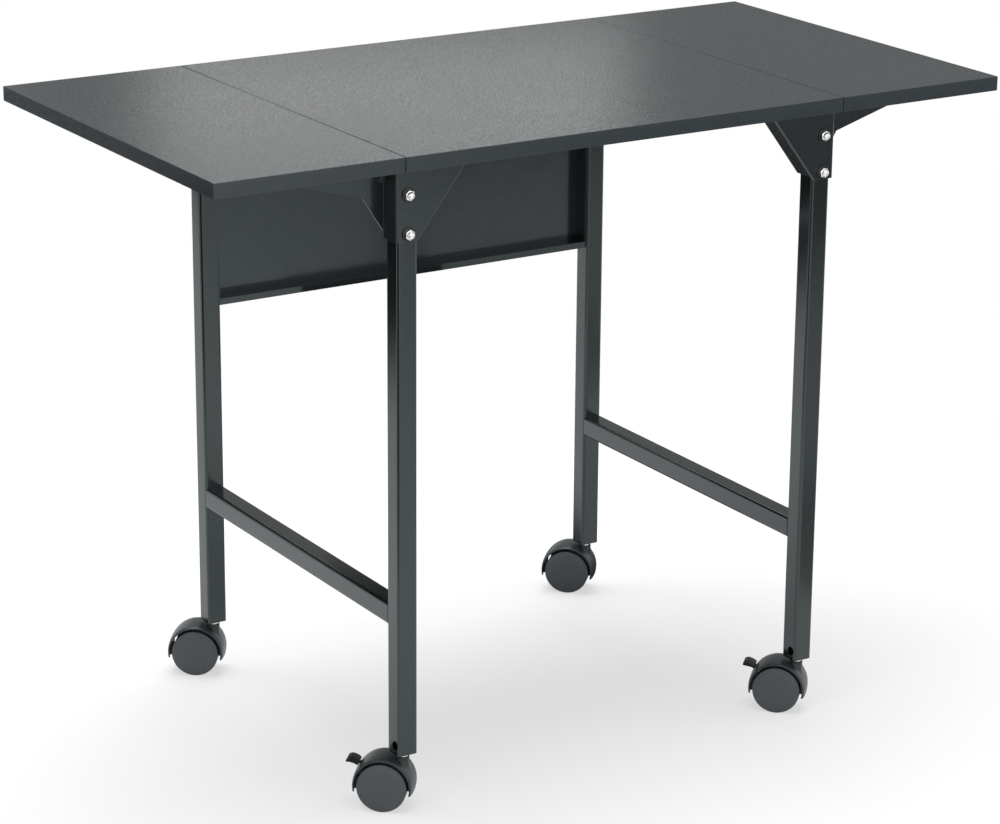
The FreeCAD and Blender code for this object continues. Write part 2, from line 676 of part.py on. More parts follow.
def front_bracket():
    """A front corner bracket, pressed from one blank: plate, folded gusset edge, top and cheek."""
    name = "front_bracket"
    body = new_body(name)
    face = [
        ("-Size.plate", "0"),
        ("Size.gusset_reach", "0"),
        ("Size.gusset_foot", "-Size.bracket_drop"),
        ("-Size.plate", "-Size.bracket_drop"),
    ]
    front_face = outline(body, name + "_face", "XZ_Plane", face, "Size.plate")
    pad(body, front_face, "Size.plate + Size.gusset_lip", False)
    at_leg = f"Size.tube + Size.side_play - Size.gusset_foot + {GUSSET_INSET}"
    lip_foot = f"({at_leg}) / {GUSSET_SLOPE} - Size.bracket_drop"
    inside = [
        ("0", "-Size.plate"),
        (f"Size.gusset_reach - {GUSSET_INSET} - Size.plate * {GUSSET_SLOPE}", "-Size.plate"),
        ("Size.tube + Size.side_play", lip_foot),
        ("Size.tube + 2 * Size.plate", lip_foot),
        ("Size.tube + 2 * Size.plate", "-Size.bracket_drop"),
        ("0", "-Size.bracket_drop"),
    ]
    pocket(body, outline(body, name + "_inside", "XZ_Plane", inside), "Size.gusset_lip", False)
    front = -size("plate")
    fold = lambda a, b: near((a.y, front), (b.y, front)) and min(a.x, b.x) > 0 and not near((a.z, b.z))
    round_edges(body, lambda edge: straight(edge, fold), "Size.bend")
    add_cheek(body, name)
    add_bolt_holes(body, name)
    places = [(gusset_screw_x(share), "Size.gusset_lip / 2") for share in GUSSET_SCREWS]
    holes = circles(body, name + "_screws", "XY_Plane", places, SCREW_HOLE, "-2 * Size.plate")
    pocket(body, holes, "3 * Size.plate")
    return body


def rear_bracket():
    """A rear corner bracket: plate, cheek and a screw ear that reaches forward past the leg."""
    name = "rear_bracket"
    body = new_body(name)
    face = rectangle(("-Size.plate", "Size.tube"), ("-Size.bracket_drop", "0"))
    pad(body, outline(body, name + "_face", "XZ_Plane", face, "Size.plate"), "Size.plate", False)
    add_cheek(body, name)
    ear = rectangle(("-Size.plate / 2", "Size.tube"), ("-Size.plate", "0"))
    length = "Size.cheek_depth + Size.ear_length"
    pad(body, outline(body, name + "_ear", "XZ_Plane", ear), length, False)
    add_bolt_holes(body, name)
    place = ("Size.tube / 2", EAR_SCREW_Y)
    hole = circles(body, name + "_screw", "XY_Plane", [place], SCREW_HOLE, "-2 * Size.plate")
    pocket(body, hole, "3 * Size.plate")
    return body


def leaf_arm():
    """The arm that carries a leaf: a tapering web behind the leg and a flange under the leaf."""
    name = "leaf_arm"
    body = new_body(name)
    web = [
        ("-Size.plate", "0"),
        ("-Size.plate", "-Size.arm_root_drop"),
        ("-Size.arm_knee", "-Size.arm_knee_drop"),
        ("-Size.arm_reach", "-Size.arm_nose"),
        ("-Size.arm_reach", "0"),
    ]
    pad(body, outline(body, name + "_web", "XZ_Plane", web, f"-{ARM_FRONT}"), "Size.arm_plate", False)
    flange_x = ("-Size.arm_flange_end", "-Size.arm_flange_start")
    under_leaf = rectangle(flange_x, ("-Size.arm_plate", "0"))
    flange = outline(body, name + "_flange", "XZ_Plane", under_leaf, f"-{ARM_FRONT}")
    pad(body, flange, "Size.arm_plate + Size.arm_flange", False)
    fit = "Size.pin + Size.running_fit"
    eye = circles(body, name + "_eye", "XZ_Plane", [(PIVOT_X, PIVOT_Z)], fit, f"-{ARM_FRONT}")
    pocket(body, eye, "Size.arm_plate", False)
    places = [(f"-{arm_screw_x(share)}", ARM_SCREW_Y) for share in ARM_SCREWS]
    holes = circles(body, name + "_screws", "XY_Plane", places, SCREW_HOLE, "-2 * Size.arm_plate")
    pocket(body, holes, "3 * Size.arm_plate")
    return body


def pivot_hardware():
    """The headed pin and the lock nut of one leaf pivot."""
    head_start = f"({LUG_START} - Size.pin_head_height)"
    nut_start = f"({ARM_REAR} + Size.side_play)"
    length = f"{nut_start} + Size.nut_height - {head_start}"
    head_place = (PIVOT_X, head_start, PIVOT_Z)
    nut_place = (PIVOT_X, nut_start, PIVOT_Z)
    shank = rod("pivot_shank", "Size.pin", length, "y", head_place)
    head = rod("pivot_head", "Size.pin_head", "Size.pin_head_height", "y", head_place)
    block = hexagon("pivot_hex", "Size.hex", "Size.nut_height", "y", nut_place)
    bore = rod("pivot_nut_bore", "Size.pin", "Size.nut_height", "y", nut_place)
    return fuse("pivot_pin", [shank, head]), cut("pivot_nut", block, [bore])


def leg_hardware(level):
    """One leg bolt with its washer and the nut inside the leg."""
    name = level + "_bolt"
    x = "Size.tube / 2"
    z = f"-Size.bolt_{level}"
    washer_place = (x, "(-Size.plate - Size.washer_thick)", z)
    head_place = (x, "(-Size.plate - Size.washer_thick - Size.hex_height)", z)
    nut_place = (x, "Size.tube_wall", z)
    shank = rod(name + "_shank", "Size.bolt", f"Size.bolt_grip - {head_place[1]}", "y", head_place)
    head = hexagon(name + "_head", "Size.head_hex", "Size.hex_height", "y", head_place)
    cap_place = (x, f"({head_place[1]} - Size.cap_height)", z)
    cap = cone(name + "_cap", "Size.cap / 2", "Size.cap", "Size.cap_height", "y", cap_place)
    disc = rod(name + "_disc", "Size.washer", "Size.washer_thick", "y", washer_place)
    eye = rod(name + "_washer_eye", "Size.bolt", "Size.washer_thick", "y", washer_place)
    block = hexagon(name + "_hex", "Size.hex", "Size.nut_height", "y", nut_place)
    thread = rod(name + "_nut_bore", "Size.bolt", "Size.nut_height", "y", nut_place)
    bolt = fuse(name, [shank, head, cap])
    return bolt, cut(name + "_washer", disc, [eye]), cut(name + "_nut", block, [thread])


def at_corners(source, corners):
    """A piece modelled at the front left corner, copied to the named corners."""
    placed = bind(group(source.Name + "_placed", [source]), {
        "Placement.Base.x": f"-{LEG_X}",
        "Placement.Base.y": f"-{LEG_Y}",
        "Placement.Base.z": UNDER,
    })
    copies = []
    for corner in corners:
        piece = placed
        if "right" in corner:
            piece = mirror(f"{source.Name}_{corner}_x", piece, (1, 0, 0))
        if "rear" in corner:
            piece = mirror(f"{source.Name}_{corner}_y", piece, (0, 1, 0))
        copies.append(piece)
    return copies


def make_brackets():
    """Brackets, arms, pivots and leg bolts at the four corners."""
    sets = (
        ("bracket", front_bracket(), FRONT),
        ("bracket", rear_bracket(), REAR),
        ("leaf_arm", leaf_arm(), CORNERS),
    )
    for kind, source, corners in sets:
        for corner, piece in zip(corners, at_corners(source, corners)):
            finish(group(f"{corner}_{kind}_copy", [piece]), f"{corner}_{kind}")
    pin, nut = pivot_hardware()
    finish(group("pivot_pins_group", at_corners(pin, CORNERS)), "pivot_pins")
    finish(group("pivot_nuts_group", at_corners(nut, CORNERS)), "pivot_nuts")
    collected = {"leg_bolts": [], "leg_washers": [], "leg_nuts": []}
    for level in ("upper", "lower"):
        for label, source in zip(collected, leg_hardware(level)):
            collected[label] += at_corners(source, CORNERS)
    for label, copies in collected.items():
        finish(group(label + "_group", copies), label)


# ---------------------------------------------------------------- casters
# Each is modelled round the middle of its axle: +X is the way it trails, Y is the axle.


def wheel():
    """A wheel with a blind axle bore, a grooved face and a rounded tread."""
    body = new_body("wheel_turned")
    bore = "Size.axle + Size.running_fit"
    bore_end = "Size.axle_half + Size.side_play"
    profile = [
        ("0", "Size.wheel_outer"),
        ("Size.wheel_ring - Size.ring_depth", "Size.wheel_outer"),
        ("Size.wheel_ring", "Size.wheel_outer - Size.ring_depth"),
        ("Size.wheel_ring + Size.ring_depth", "Size.wheel_outer"),
        ("Size.wheel - Size.wheel_bevel", "Size.wheel_outer"),
        ("Size.wheel - 0.3 * Size.wheel_bevel", "Size.wheel_outer - 0.3 * Size.wheel_bevel"),
        ("Size.wheel", "Size.wheel_outer - Size.wheel_bevel"),
        ("Size.wheel", "Size.wheel_inner"),
        (bore, "Size.wheel_inner"),
        (bore, bore_end),
        ("0", bore_end),
    ]
    revolve(body, outline(body, "wheel_profile", "XY_Plane", profile))
    return body


def hood(name, braked):
    """The moulded hood: a crowned shell over both wheels, the core between them and the neck."""
    body = new_body(name)
    half_section = [
        ("Size.hood_rim + Size.hood_crown", "Size.hood_flat"),
        ("Size.hood_rim", "Size.hood_half - Size.hood_edge"),
        ("Size.hood_rim - Size.hood_edge", "Size.hood_half"),
        ("0", "Size.hood_half"),
    ]
    other_half = [(x, f"-({y})") for x, y in reversed(half_section)]
    revolve(body, outline(body, name + "_disc", "XY_Plane", half_section + other_half))
    swivel = [("-Size.trail", "0")]
    pad(body, circles(body, name + "_neck", "XY_Plane", swivel, "Size.neck"), "Size.neck_top - Size.wheel")
    side = "(Size.hood_half + Size.hood_wall)"
    for letter, sign in (("a", ""), ("b", "-")):
        well = [
            ("0", f"{sign}Size.core_half"),
            ("Size.hood_rim + Size.hood_crown - Size.hood_wall", f"{sign}Size.core_half"),
            ("Size.hood_rim + Size.hood_crown - Size.hood_wall", f"{sign}Size.hood_flat"),
            ("Size.hood_rim - Size.hood_wall", f"{sign}{side}"),
            ("0", f"{sign}{side}"),
        ]
        groove(body, outline(body, f"{name}_well_{letter}", "XY_Plane", well))
    gap_outer = "Size.hood_rim + Size.hood_crown - Size.hood_wall"
    gap = rectangle(("Size.core_inner", gap_outer), ("-Size.core_half", "Size.core_half"))
    gap_angle = "Size.front_gap_angle" if braked else "Size.rear_gap_angle"
    groove(body, outline(body, name + "_core_gap", "XY_Plane", gap), gap_angle)
    far = "2 * Size.hood_rim"
    below = [
        ("0", "0"),
        (far, "-2 * Size.hood_tail"),
        (far, f"-{far}"),
        (f"-{far}", f"-{far}"),
        (f"-{far}", "-2 * Size.hood_nose"),
    ]
    pocket(body, outline(body, name + "_below", "XZ_Plane", below, side), f"2 * {side}", False)
    width = "2 * Size.core_half"
    boss = circles(body, name + "_boss", "XZ_Plane", [("0", "0")], "Size.core_boss", "Size.core_half")
    pad(body, boss, width, False)
    bore = circles(body, name + "_axle_bore", "XZ_Plane", [("0", "0")], "Size.axle", "Size.core_half")
    pocket(body, bore, width, False)
    above = "Size.neck_top - Size.wheel"
    stem_bore = circles(body, name + "_stem_bore", "XY_Plane", swivel, "Size.stem_root", above)
    pocket(body, stem_bore, "Size.neck_top - Size.stem_foot", False)
    if braked:
        add_brake_slot(body, name)
    return body


def add_brake_slot(body, name):
    """The slot and the pin bore of the brake lever."""
    slot = [
        ("Size.brake_trail - Size.slot_reach", "Size.brake_rise"),
        ("Size.brake_trail", "Size.brake_rise - Size.slot_reach"),
        ("Size.brake_trail + 2 * Size.hood_rim", "Size.brake_rise - Size.slot_reach"),
        ("Size.brake_trail - Size.slot_reach + Size.hood_rim", "Size.brake_rise + Size.hood_rim"),
    ]
    pocket(body, outline(body, name + "_slot", "XZ_Plane", slot, "Size.slot"), "2 * Size.slot", False)
    place = [("Size.brake_trail", "Size.brake_rise")]
    bore = circles(body, name + "_pin_bore", "XZ_Plane", place, "Size.brake_pin", "Size.core_half")
    pocket(body, bore, "2 * Size.core_half", False)


def along_pedal(share):
    """A place on the pedal, as a share of the way from its root to its tip."""
    return f"(Size.pedal_root + {share} * (Size.pedal_reach - Size.pedal_root))"


def brake_lever():
    """The brake lever, modelled from its pin with +X along the tongue and an arched pedal."""
    name = "brake_lever_moulded"
    body = new_body(name)
    pin = [("0", "0")]
    boss = circles(body, name + "_boss", "XZ_Plane", pin, "Size.lever_boss", "Size.tongue")
    pad(body, boss, "2 * Size.tongue", False)
    inside = along_pedal(PEDAL_CREST)
    tongue = [
        ("0", "Size.tongue_height"),
        (inside, "Size.pedal_rise / 2"),
        (inside, "0"),
        ("0", "-Size.tongue_height"),
    ]
    pad(body, outline(body, name + "_tongue", "XZ_Plane", tongue, "Size.tongue"), "2 * Size.tongue", False)
    pedal = [(along_pedal(share), f"({rise} * Size.pedal_rise)") for share, rise in PEDAL_TOP]
    pedal += [(along_pedal(share), f"({fall} * Size.pedal_fall)") for share, fall in PEDAL_TIP]
    pedal += [(along_pedal(share), f"({thick} * Size.pedal_thick)") for share, thick in PEDAL_BELOW]
    arch = outline(body, name + "_pedal", "XZ_Plane", pedal, "Size.pedal_half")
    pad(body, arch, "2 * Size.pedal_half", False)
    fit = "Size.brake_pin + Size.running_fit"
    bore = circles(body, name + "_bore", "XZ_Plane", pin, fit, "Size.tongue")
    pocket(body, bore, "2 * Size.tongue", False)
    return body


def stem():
    """The steel stem: its root in the hood, a collar and a snap groove near its top."""
    body = new_body("stem_turned")
    top = "Size.leg_clearance + Size.stem_rise"
    collar_top = "Size.leg_clearance - Size.side_play"
    groove_top = f"{top} - Size.snap_drop"
    groove_foot = f"{groove_top} - Size.snap_height"
    waist = "Size.stem - Size.snap_depth"
    profile = [
        ("0", "Size.stem_foot"),
        ("Size.stem_root", "Size.stem_foot"),
        ("Size.stem_root", "Size.neck_top"),
        ("Size.collar", "Size.neck_top"),
        ("Size.collar", collar_top),
        ("Size.stem", collar_top),
        ("Size.stem", groove_foot),
        (waist, groove_foot),
        (waist, groove_top),
        ("Size.stem", groove_top),
        ("Size.stem", f"{top} - Size.snap_depth"),
        (waist, top),
        ("0", top),
    ]
    revolve(body, outline(body, "stem_profile", "XZ_Plane", profile))
    return body


def from_stem(source, ahead="0", above="Size.wheel"):
    """A caster piece at its place, measured from the stem's axis and the floor."""
    placed = group(source.Name + "_from_stem", [source])
    return bind(placed, {"Placement.Base.x": f"Size.trail + {ahead}", "Placement.Base.z": above})


def tilted_lever():
    """The brake lever, turned up about its pin to its rest position."""
    tilted = group("brake_lever_tilted", [brake_lever()])
    upwards = FreeCAD.Rotation(FreeCAD.Vector(0, -1, 0), size("lever_angle"))
    tilted.Placement = FreeCAD.Placement(FreeCAD.Vector(), upwards)
    return bind(tilted, {"Placement.Rotation.Angle": "Size.lever_angle"})


def make_casters():
    """Four casters, each turned to its rest direction. The two front ones have brake levers."""
    wheel_body = wheel()
    axle = rod("axle_rod", "Size.axle", "2 * Size.axle_half", "y", ("0", "-Size.axle_half", "0"))
    pin = rod("brake_pin_rod", "Size.brake_pin", "2 * Size.core_half", "y", ("0", "-Size.core_half", "0"))
    at_pin = ("Size.brake_trail", "Size.wheel + Size.brake_rise")
    every = {
        "stem": stem(),
        "axle": from_stem(axle),
        "left_wheel": from_stem(wheel_body),
        "right_wheel": from_stem(mirror("wheel_mirrored", wheel_body, (0, 1, 0))),
    }
    front = {
        "hood": from_stem(hood("hood_braked", True)),
        "brake_lever": from_stem(tilted_lever(), *at_pin),
        "brake_pin": from_stem(pin, *at_pin),
    }
    rear = {"hood": from_stem(hood("hood_plain", False))}
    for corner in CORNERS:
        x = ("-" if "left" in corner else "") + LEG_MIDDLE_X
        y = ("-" if "front" in corner else "") + LEG_MIDDLE_Y
        pieces = every | (front if corner in FRONT else rear)
        for kind, source in pieces.items():
            copy = group(f"{corner}_{kind}_copy", [source])
            finish(copy, f"{corner}_{kind}", x, y, "0", f"Size.{corner}_angle")


make_top()
make_frame()
make_brackets()
make_casters()
doc.recompute()

for item in doc.Objects:
    if "Invalid" in item.State or "Error" in item.State:
        raise ValueError(f"{item.Name} did not recompute")
for item in parts:
    if item.Shape.isNull() or not item.Shape.isValid():
        raise ValueError(f"{item.Label} has no valid shape")

os.makedirs("parts", exist_ok=True)
for item in parts:
    item.Shape.exportStep(f"parts/{item.Label}.step")
print(f"{len(parts)} sub-parts written")
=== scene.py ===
# %% [markdown]
# # A typewriter table in black laminate and black enamel
#
# This lesson dresses a finished construction model. The model comes in as a fixed frame of
# named nodes, each on the rigid body that it moves with. Nothing here changes a size. Every
# cell either gives a node its real finish, or builds a finer piece in the same place and lets
# that piece stand for the node.

import json
import math

import bmesh
import bpy
from mathutils import Matrix, Vector


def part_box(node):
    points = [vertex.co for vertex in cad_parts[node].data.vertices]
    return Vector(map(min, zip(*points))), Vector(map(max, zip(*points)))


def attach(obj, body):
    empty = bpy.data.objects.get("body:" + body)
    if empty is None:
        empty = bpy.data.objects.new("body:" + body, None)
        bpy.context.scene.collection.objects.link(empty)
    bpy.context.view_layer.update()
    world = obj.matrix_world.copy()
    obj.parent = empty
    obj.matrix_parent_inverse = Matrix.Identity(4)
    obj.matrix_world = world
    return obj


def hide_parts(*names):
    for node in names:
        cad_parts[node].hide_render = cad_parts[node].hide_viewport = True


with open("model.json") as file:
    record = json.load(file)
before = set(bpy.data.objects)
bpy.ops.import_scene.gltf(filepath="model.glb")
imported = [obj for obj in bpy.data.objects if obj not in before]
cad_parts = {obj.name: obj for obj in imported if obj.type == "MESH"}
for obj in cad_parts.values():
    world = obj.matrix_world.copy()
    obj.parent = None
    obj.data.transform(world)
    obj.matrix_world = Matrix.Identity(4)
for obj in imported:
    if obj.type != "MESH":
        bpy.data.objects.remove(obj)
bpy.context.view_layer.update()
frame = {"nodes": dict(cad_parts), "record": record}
nodes = frame["nodes"]
scene = bpy.context.scene
behaviour = frame["record"]["behaviour"]
body_of_node = {node: body for body, members in behaviour["bodies"].items() for node in members}
slot_of_node = {part["node"]: part["material_slot"] for part in frame["record"]["subparts"]}
joints = {joint["name"]: joint for joint in behaviour["joints"]}
MM = 0.001

# %% [markdown]
# ## The camera
#
# A camera is a point, a direction and a lens. The direction is written the way a product
# photographer would say it: how far round the table the camera stands, how far it looks down,
# and how much it leans. Three unit vectors follow from those angles, and they are the columns
# of the camera's matrix. A long lens from over three metres keeps the legs nearly parallel.

# %% Place the camera
ROUND, DOWN, LEAN = (math.radians(angle) for angle in (31.861, 18.057, 0.438))
STANDPOINT = (-1.76336, -2.83966, 1.40561)
LENS_LENGTH, SENSOR_WIDTH = 118.69, 36
FARTHEST_SEEN = 50

forward = Vector((
    math.sin(ROUND) * math.cos(DOWN),
    math.cos(ROUND) * math.cos(DOWN),
    -math.sin(DOWN),
))
level_right = Vector((math.cos(ROUND), -math.sin(ROUND), 0))
level_up = level_right.cross(forward)
right = level_right * math.cos(LEAN) + level_up * math.sin(LEAN)
up = level_up * math.cos(LEAN) - level_right * math.sin(LEAN)

lens = bpy.data.cameras.new("studio_camera")
lens.sensor_width = SENSOR_WIDTH
lens.lens = LENS_LENGTH
lens.clip_end = FARTHEST_SEEN
camera = bpy.data.objects.new("studio_camera", lens)
scene.collection.objects.link(camera)
turn = Matrix((right, up, -forward)).transposed().to_4x4()
camera.matrix_world = Matrix.Translation(STANDPOINT) @ turn
scene.camera = camera
print("camera at", tuple(round(value, 3) for value in camera.matrix_world.translation))

# %% [markdown]
# ## One way to write a graph of nodes
#
# A material is a graph, but its maths reads better as an expression. `Reading` wraps one output
# socket and overloads the operators, so `0.2 + pebble * 0.1` adds the Math nodes by itself.
# `Graph` holds the tree that this works on, be it a world, a material or a shape. Its `node`
# makes any other node from its type, the values or readings of its sockets, and its settings,
# and `add` does the same and hands over a reading of one output.

# %% Graph helpers


class Reading:
    """One output socket of a graph, with arithmetic."""

    def __init__(self, graph, socket):
        self.graph = graph
        self.socket = socket

    def _math(self, operation, first, second):
        return self.graph.add("ShaderNodeMath", {0: first, 1: second}, operation=operation)

    def __add__(self, other):
        return self._math("ADD", self, other)

    def __radd__(self, other):
        return self._math("ADD", other, self)

    def __mul__(self, other):
        return self._math("MULTIPLY", self, other)

    def __rmul__(self, other):
        return self._math("MULTIPLY", other, self)


class Graph:
    """A node tree, made node by node."""

    def __init__(self, tree):
        self.tree = tree

    def node(self, kind, sockets=None, **settings):
        """A node of that kind. Its settings come first, then its sockets are filled or linked."""
        node = self.tree.nodes.new(kind)
        for name, value in settings.items():
            setattr(node, name, value)
        for name, value in (sockets or {}).items():
            if isinstance(value, Reading):
                value = value.socket
            if isinstance(value, bpy.types.NodeSocket):
                self.tree.links.new(value, node.inputs[name])
            else:
                node.inputs[name].default_value = value
        return node

    def add(self, kind, sockets=None, output=0, **settings):
        """A reading of one output of a new node."""
        return Reading(self, self.node(kind, sockets, **settings).outputs[output])

    def step(self, reading, low, high, before=0.0, after=1.0):
        """One value up to low, another from high on, and smooth between."""
        sockets = {0: reading, 1: low, 2: high, 3: before, 4: after}
        return self.add("ShaderNodeMapRange", sockets, interpolation_type="SMOOTHSTEP")

    def mix(self, share, first, second):
        """A mix of two shaders."""
        return self.add("ShaderNodeMixShader", {0: share, 1: first, 2: second})


def empty_graph(owner):
    """The graph of a world or a material, without its ready-made nodes."""
    owner.use_nodes = True
    owner.node_tree.nodes.clear()
    return Graph(owner.node_tree)


print("graph helpers ready")

# %% [markdown]
# ## The room
#
# Black enamel shows its surroundings more than its own colour, so the room matters as much as
# the paint. The world is plain white wherever a camera, a glossy or a transmission ray meets
# it, and a softer grey for everything else, which keeps the backdrop bright and the level plain.

# %% The world
scene.view_settings.view_transform = "Standard"
PLAIN_WHITE, BLACK = (1, 1, 1, 1), (0, 0, 0, 1)
SOFT_LEVEL = 0.42


def white_where_seen(graph):
    """1 for camera, glossy and transmission rays, 0 for the rays that only light things."""
    path = graph.node("ShaderNodeLightPath").outputs
    seen = Reading(graph, path["Is Camera Ray"])
    for kind in ("Is Glossy Ray", "Is Transmission Ray"):
        seen = graph.add("ShaderNodeMath", {0: seen, 1: path[kind]}, operation="MAXIMUM")
    return seen


world = bpy.data.worlds.new("pale_room")
scene.world = world
room = empty_graph(world)
soft, plain = (
    room.add("ShaderNodeBackground", {"Color": PLAIN_WHITE, "Strength": strength})
    for strength in (SOFT_LEVEL, 1.0)
)
room.node("ShaderNodeOutputWorld", {0: room.mix(white_where_seen(room), soft, plain)})
print("world ready")

# %% [markdown]
# ## Lamps and flags
#
# A wide box overhead lights the boards and gives the soft shadow on the floor. A weak one in
# front lifts the front edges, and a slim one close behind the table, a little over the top,
# draws the sheen on it.
#
# Product photographers also stand black cards, called flags, round a glossy thing. A flag
# takes no light away, because only glossy rays see it here. It gives the enamel something dark
# to mirror, and that is what draws the shape of a square tube. Each fades along one axis,
# because a reflection with a hard edge would read as a stain on the paint.

# %% Lamps and flags


def softbox(name, place, target, width, height, watts):
    """An area lamp that looks at a target."""
    lamp = bpy.data.lights.new(name, "AREA")
    lamp.shape = "RECTANGLE"
    lamp.size = width
    lamp.size_y = height
    lamp.energy = watts
    holder = bpy.data.objects.new(name, lamp)
    scene.collection.objects.link(holder)
    holder.location = place
    holder.rotation_euler = (Vector(target) - Vector(place)).to_track_quat("-Z", "Y").to_euler()
    holder.visible_camera = False


def card(name, corners, material):
    """A single flat face of one material."""
    mesh = bpy.data.meshes.new(name)
    mesh.from_pydata(corners, [], [(0, 1, 2, 3)])
    mesh.materials.append(material)
    holder = bpy.data.objects.new(name, mesh)
    scene.collection.objects.link(holder)
    return holder


def flag(name, corners, darkest, axis, clear_at, dark_at):
    """A card seen only in reflections, clear at one place on an axis and dark from another."""
    material = bpy.data.materials.new(name)
    graph = empty_graph(material)
    place = graph.add("ShaderNodeTexCoord", output="Object")
    along = graph.add("ShaderNodeSeparateXYZ", {0: place}, axis)
    share = graph.step(along, clear_at, dark_at, 0.0, darkest)
    clear = graph.add("ShaderNodeBsdfTransparent")
    dark = graph.add("ShaderNodeEmission", {"Color": BLACK})
    graph.node("ShaderNodeOutputMaterial", {0: graph.mix(share, clear, dark)})
    holder = card(name, corners, material)
    for ray in ("camera", "diffuse", "transmission", "volume_scatter", "shadow"):
        setattr(holder, "visible_" + ray, False)


def upright_card(start, end, low, high):
    """The corners of a card that stands between two places on the floor."""
    (x0, y0), (x1, y1) = start, end
    return [(x0, y0, low), (x1, y1, low), (x1, y1, high), (x0, y0, high)]


def lying_card(low, high, lift=0.002):
    """The corners of a card that lies just over the floor."""
    (x0, y0), (x1, y1) = low, high
    return [(x0, y0, lift), (x1, y0, lift), (x1, y1, lift), (x0, y1, lift)]


softbox("overhead_box", (0.0, 0.40, 3.2), (0, 0, 0.3), 3.2, 2.6, 140)
softbox("front_box", (0.25, -1.9, 0.9), (0, 0, 0.45), 0.8, 0.8, 3.5)
softbox("low_back_box", (0.33, 0.81, 0.96), (-0.22, -0.22, 0.68), 0.62, 0.16, 0.6)

# Ahead of the table, for the panel, the brackets' plates, the legs and the front edge.
flag("front_floor_flag", lying_card((0.30, -3.2), (3.0, -0.7)), 0.30, "X", 0.32, 0.75)
flag("far_right_flag", lying_card((0.98, -3.2), (3.0, -1.68), 0.004), 0.85, "X", 0.99, 1.18)

# Behind and to the left, for the left end of the top.
flag("far_left_flag", lying_card((-2.6, 1.15), (-1.15, 3.8)), 0.97, "X", -1.15, -1.3)

# Ahead again, for the foot of the front right leg and for the round sides of the casters.
flag("near_right_flag", lying_card((0.42, -0.80), (0.88, -0.46), 0.004), 0.55, "X", 0.42, 0.50)
flag("camera_side_flag", lying_card((-3.4, -2.6), (-0.62, -0.35), 0.006), 0.9, "X", -0.65, -0.95)

# Under and behind the table, for whatever faces left: the right bracket's lip and the legs.
flag("under_floor_flag", lying_card((0.02, 0.10), (1.6, 1.25)), 0.95, "X", 0.03, 0.18)
flag("left_flag", upright_card((-0.9, 0.17), (-0.27, 0.17), 0.22, 0.56), 0.93, "Z", 0.24, 0.40)
flag("middle_flag", upright_card((-0.12, 0.165), (0.06, 0.165), 0.26, 0.42), 0.9, "Z", 0.27, 0.40)

# Far behind, for the rolled upper corners of the side bars and for the right part of the top.
flag("high_flag", upright_card((-5.0, 2.6), (-0.35, 2.6), 1.0, 6.0), 0.97, "Z", 1.0, 1.25)
flag("right_top_flag", upright_card((0.2, 2.6), (4.5, 2.6), 0.4, 3.0), 0.65, "X", 0.2, 0.6)
print("lamps:", [lamp.name for lamp in bpy.data.lights])

# %% [markdown]
# ## A finish
#
# A finish is a graph round one Principled shader. Its constants go straight onto the shader's
# sockets, and only what varies over the surface is linked. Every pattern reads the piece's own
# coordinates in metres, so it stays on the piece when the piece moves.

# %% The finish


class Finish(Graph):
    """One material round a Principled shader."""

    def __init__(self, name, **constants):
        self.material = bpy.data.materials.new(name)
        self.material.use_nodes = True
        super().__init__(self.material.node_tree)
        self.shader = self.tree.nodes["Principled BSDF"]
        for socket, value in constants.items():
            title = socket.replace("_", " ").title().replace("Ior", "IOR")
            self.shader.inputs[title].default_value = value
        self.place = self.add("ShaderNodeTexCoord", output="Object")

    def noise(self, scale, detail=2.0, roughness=0.5, stretch=None):
        """Noise in metres: a scale of 1000 has grains of about a millimetre."""
        place = self.place
        if stretch:
            place = self.add("ShaderNodeMapping", {"Vector": place, "Scale": stretch})
        sockets = {"Vector": place, "Scale": scale, "Detail": detail, "Roughness": roughness}
        return self.add("ShaderNodeTexNoise", sockets)

    def blend(self, share, first, second):
        """A colour between two."""
        sockets = {0: share, 6: (*first, 1), 7: (*second, 1)}
        return self.add("ShaderNodeMix", sockets, 2, data_type="RGBA")

    def bump(self, height, strength, distance):
        """A normal that follows small heights."""
        sockets = {"Height": height, "Strength": strength, "Distance": distance}
        return self.add("ShaderNodeBump", sockets)

    def wear(self, **varying):
        """Links the readings that change over the surface, and hands over the material."""
        for socket, reading in varying.items():
            target = self.shader.inputs[socket.replace("_", " ").title()]
            self.tree.links.new(reading.socket, target)
        return self.material


print("finish ready")

# %% [markdown]
# ## Laminate and edge band
#
# The top is pressed particle board under black laminate. Its surface is a fine pebble, about
# two millimetres across, that breaks a reflection into sparkle. A noise of that size drives the
# bump and the roughness, a finer one sets pale flecks in the black, and a wide slow noise keeps
# the sheen uneven. The edge band is another plastic: plainer and smoother, with a faint grain
# along it.

# %% Laminate and edge band
COOL_SHEEN = (0.93, 0.98, 1, 1)


def laminate_finish():
    """Black pebbled laminate."""
    finish = Finish("black_laminate", specular_ior_level=0.36, specular_tint=COOL_SHEEN)
    pebble = finish.noise(480, 2, 0.6)
    fleck = finish.step(finish.noise(1250, 1, 0.4), 0.56, 0.72)
    drift = finish.noise(4, 2)
    return finish.wear(
        base_color=finish.blend(fleck, (0.008, 0.011, 0.012), (0.042, 0.051, 0.056)),
        roughness=0.20 + pebble * 0.10 + drift * 0.05,
        normal=finish.bump(pebble, 0.5, 0.0006),
    )


def edge_band_finish():
    """Plain black plastic edge banding with a faint grain along it."""
    finish = Finish("edge_banding", specular_ior_level=0.6, specular_tint=COOL_SHEEN)
    grain = finish.noise(500, 2, 0.6, stretch=(0.4, 0.4, 1.0))
    return finish.wear(
        base_color=finish.blend(grain, (0.020, 0.027, 0.032), (0.030, 0.039, 0.046)),
        roughness=0.18 + grain * 0.10,
        normal=finish.bump(grain, 0.08, 0.0002),
    )


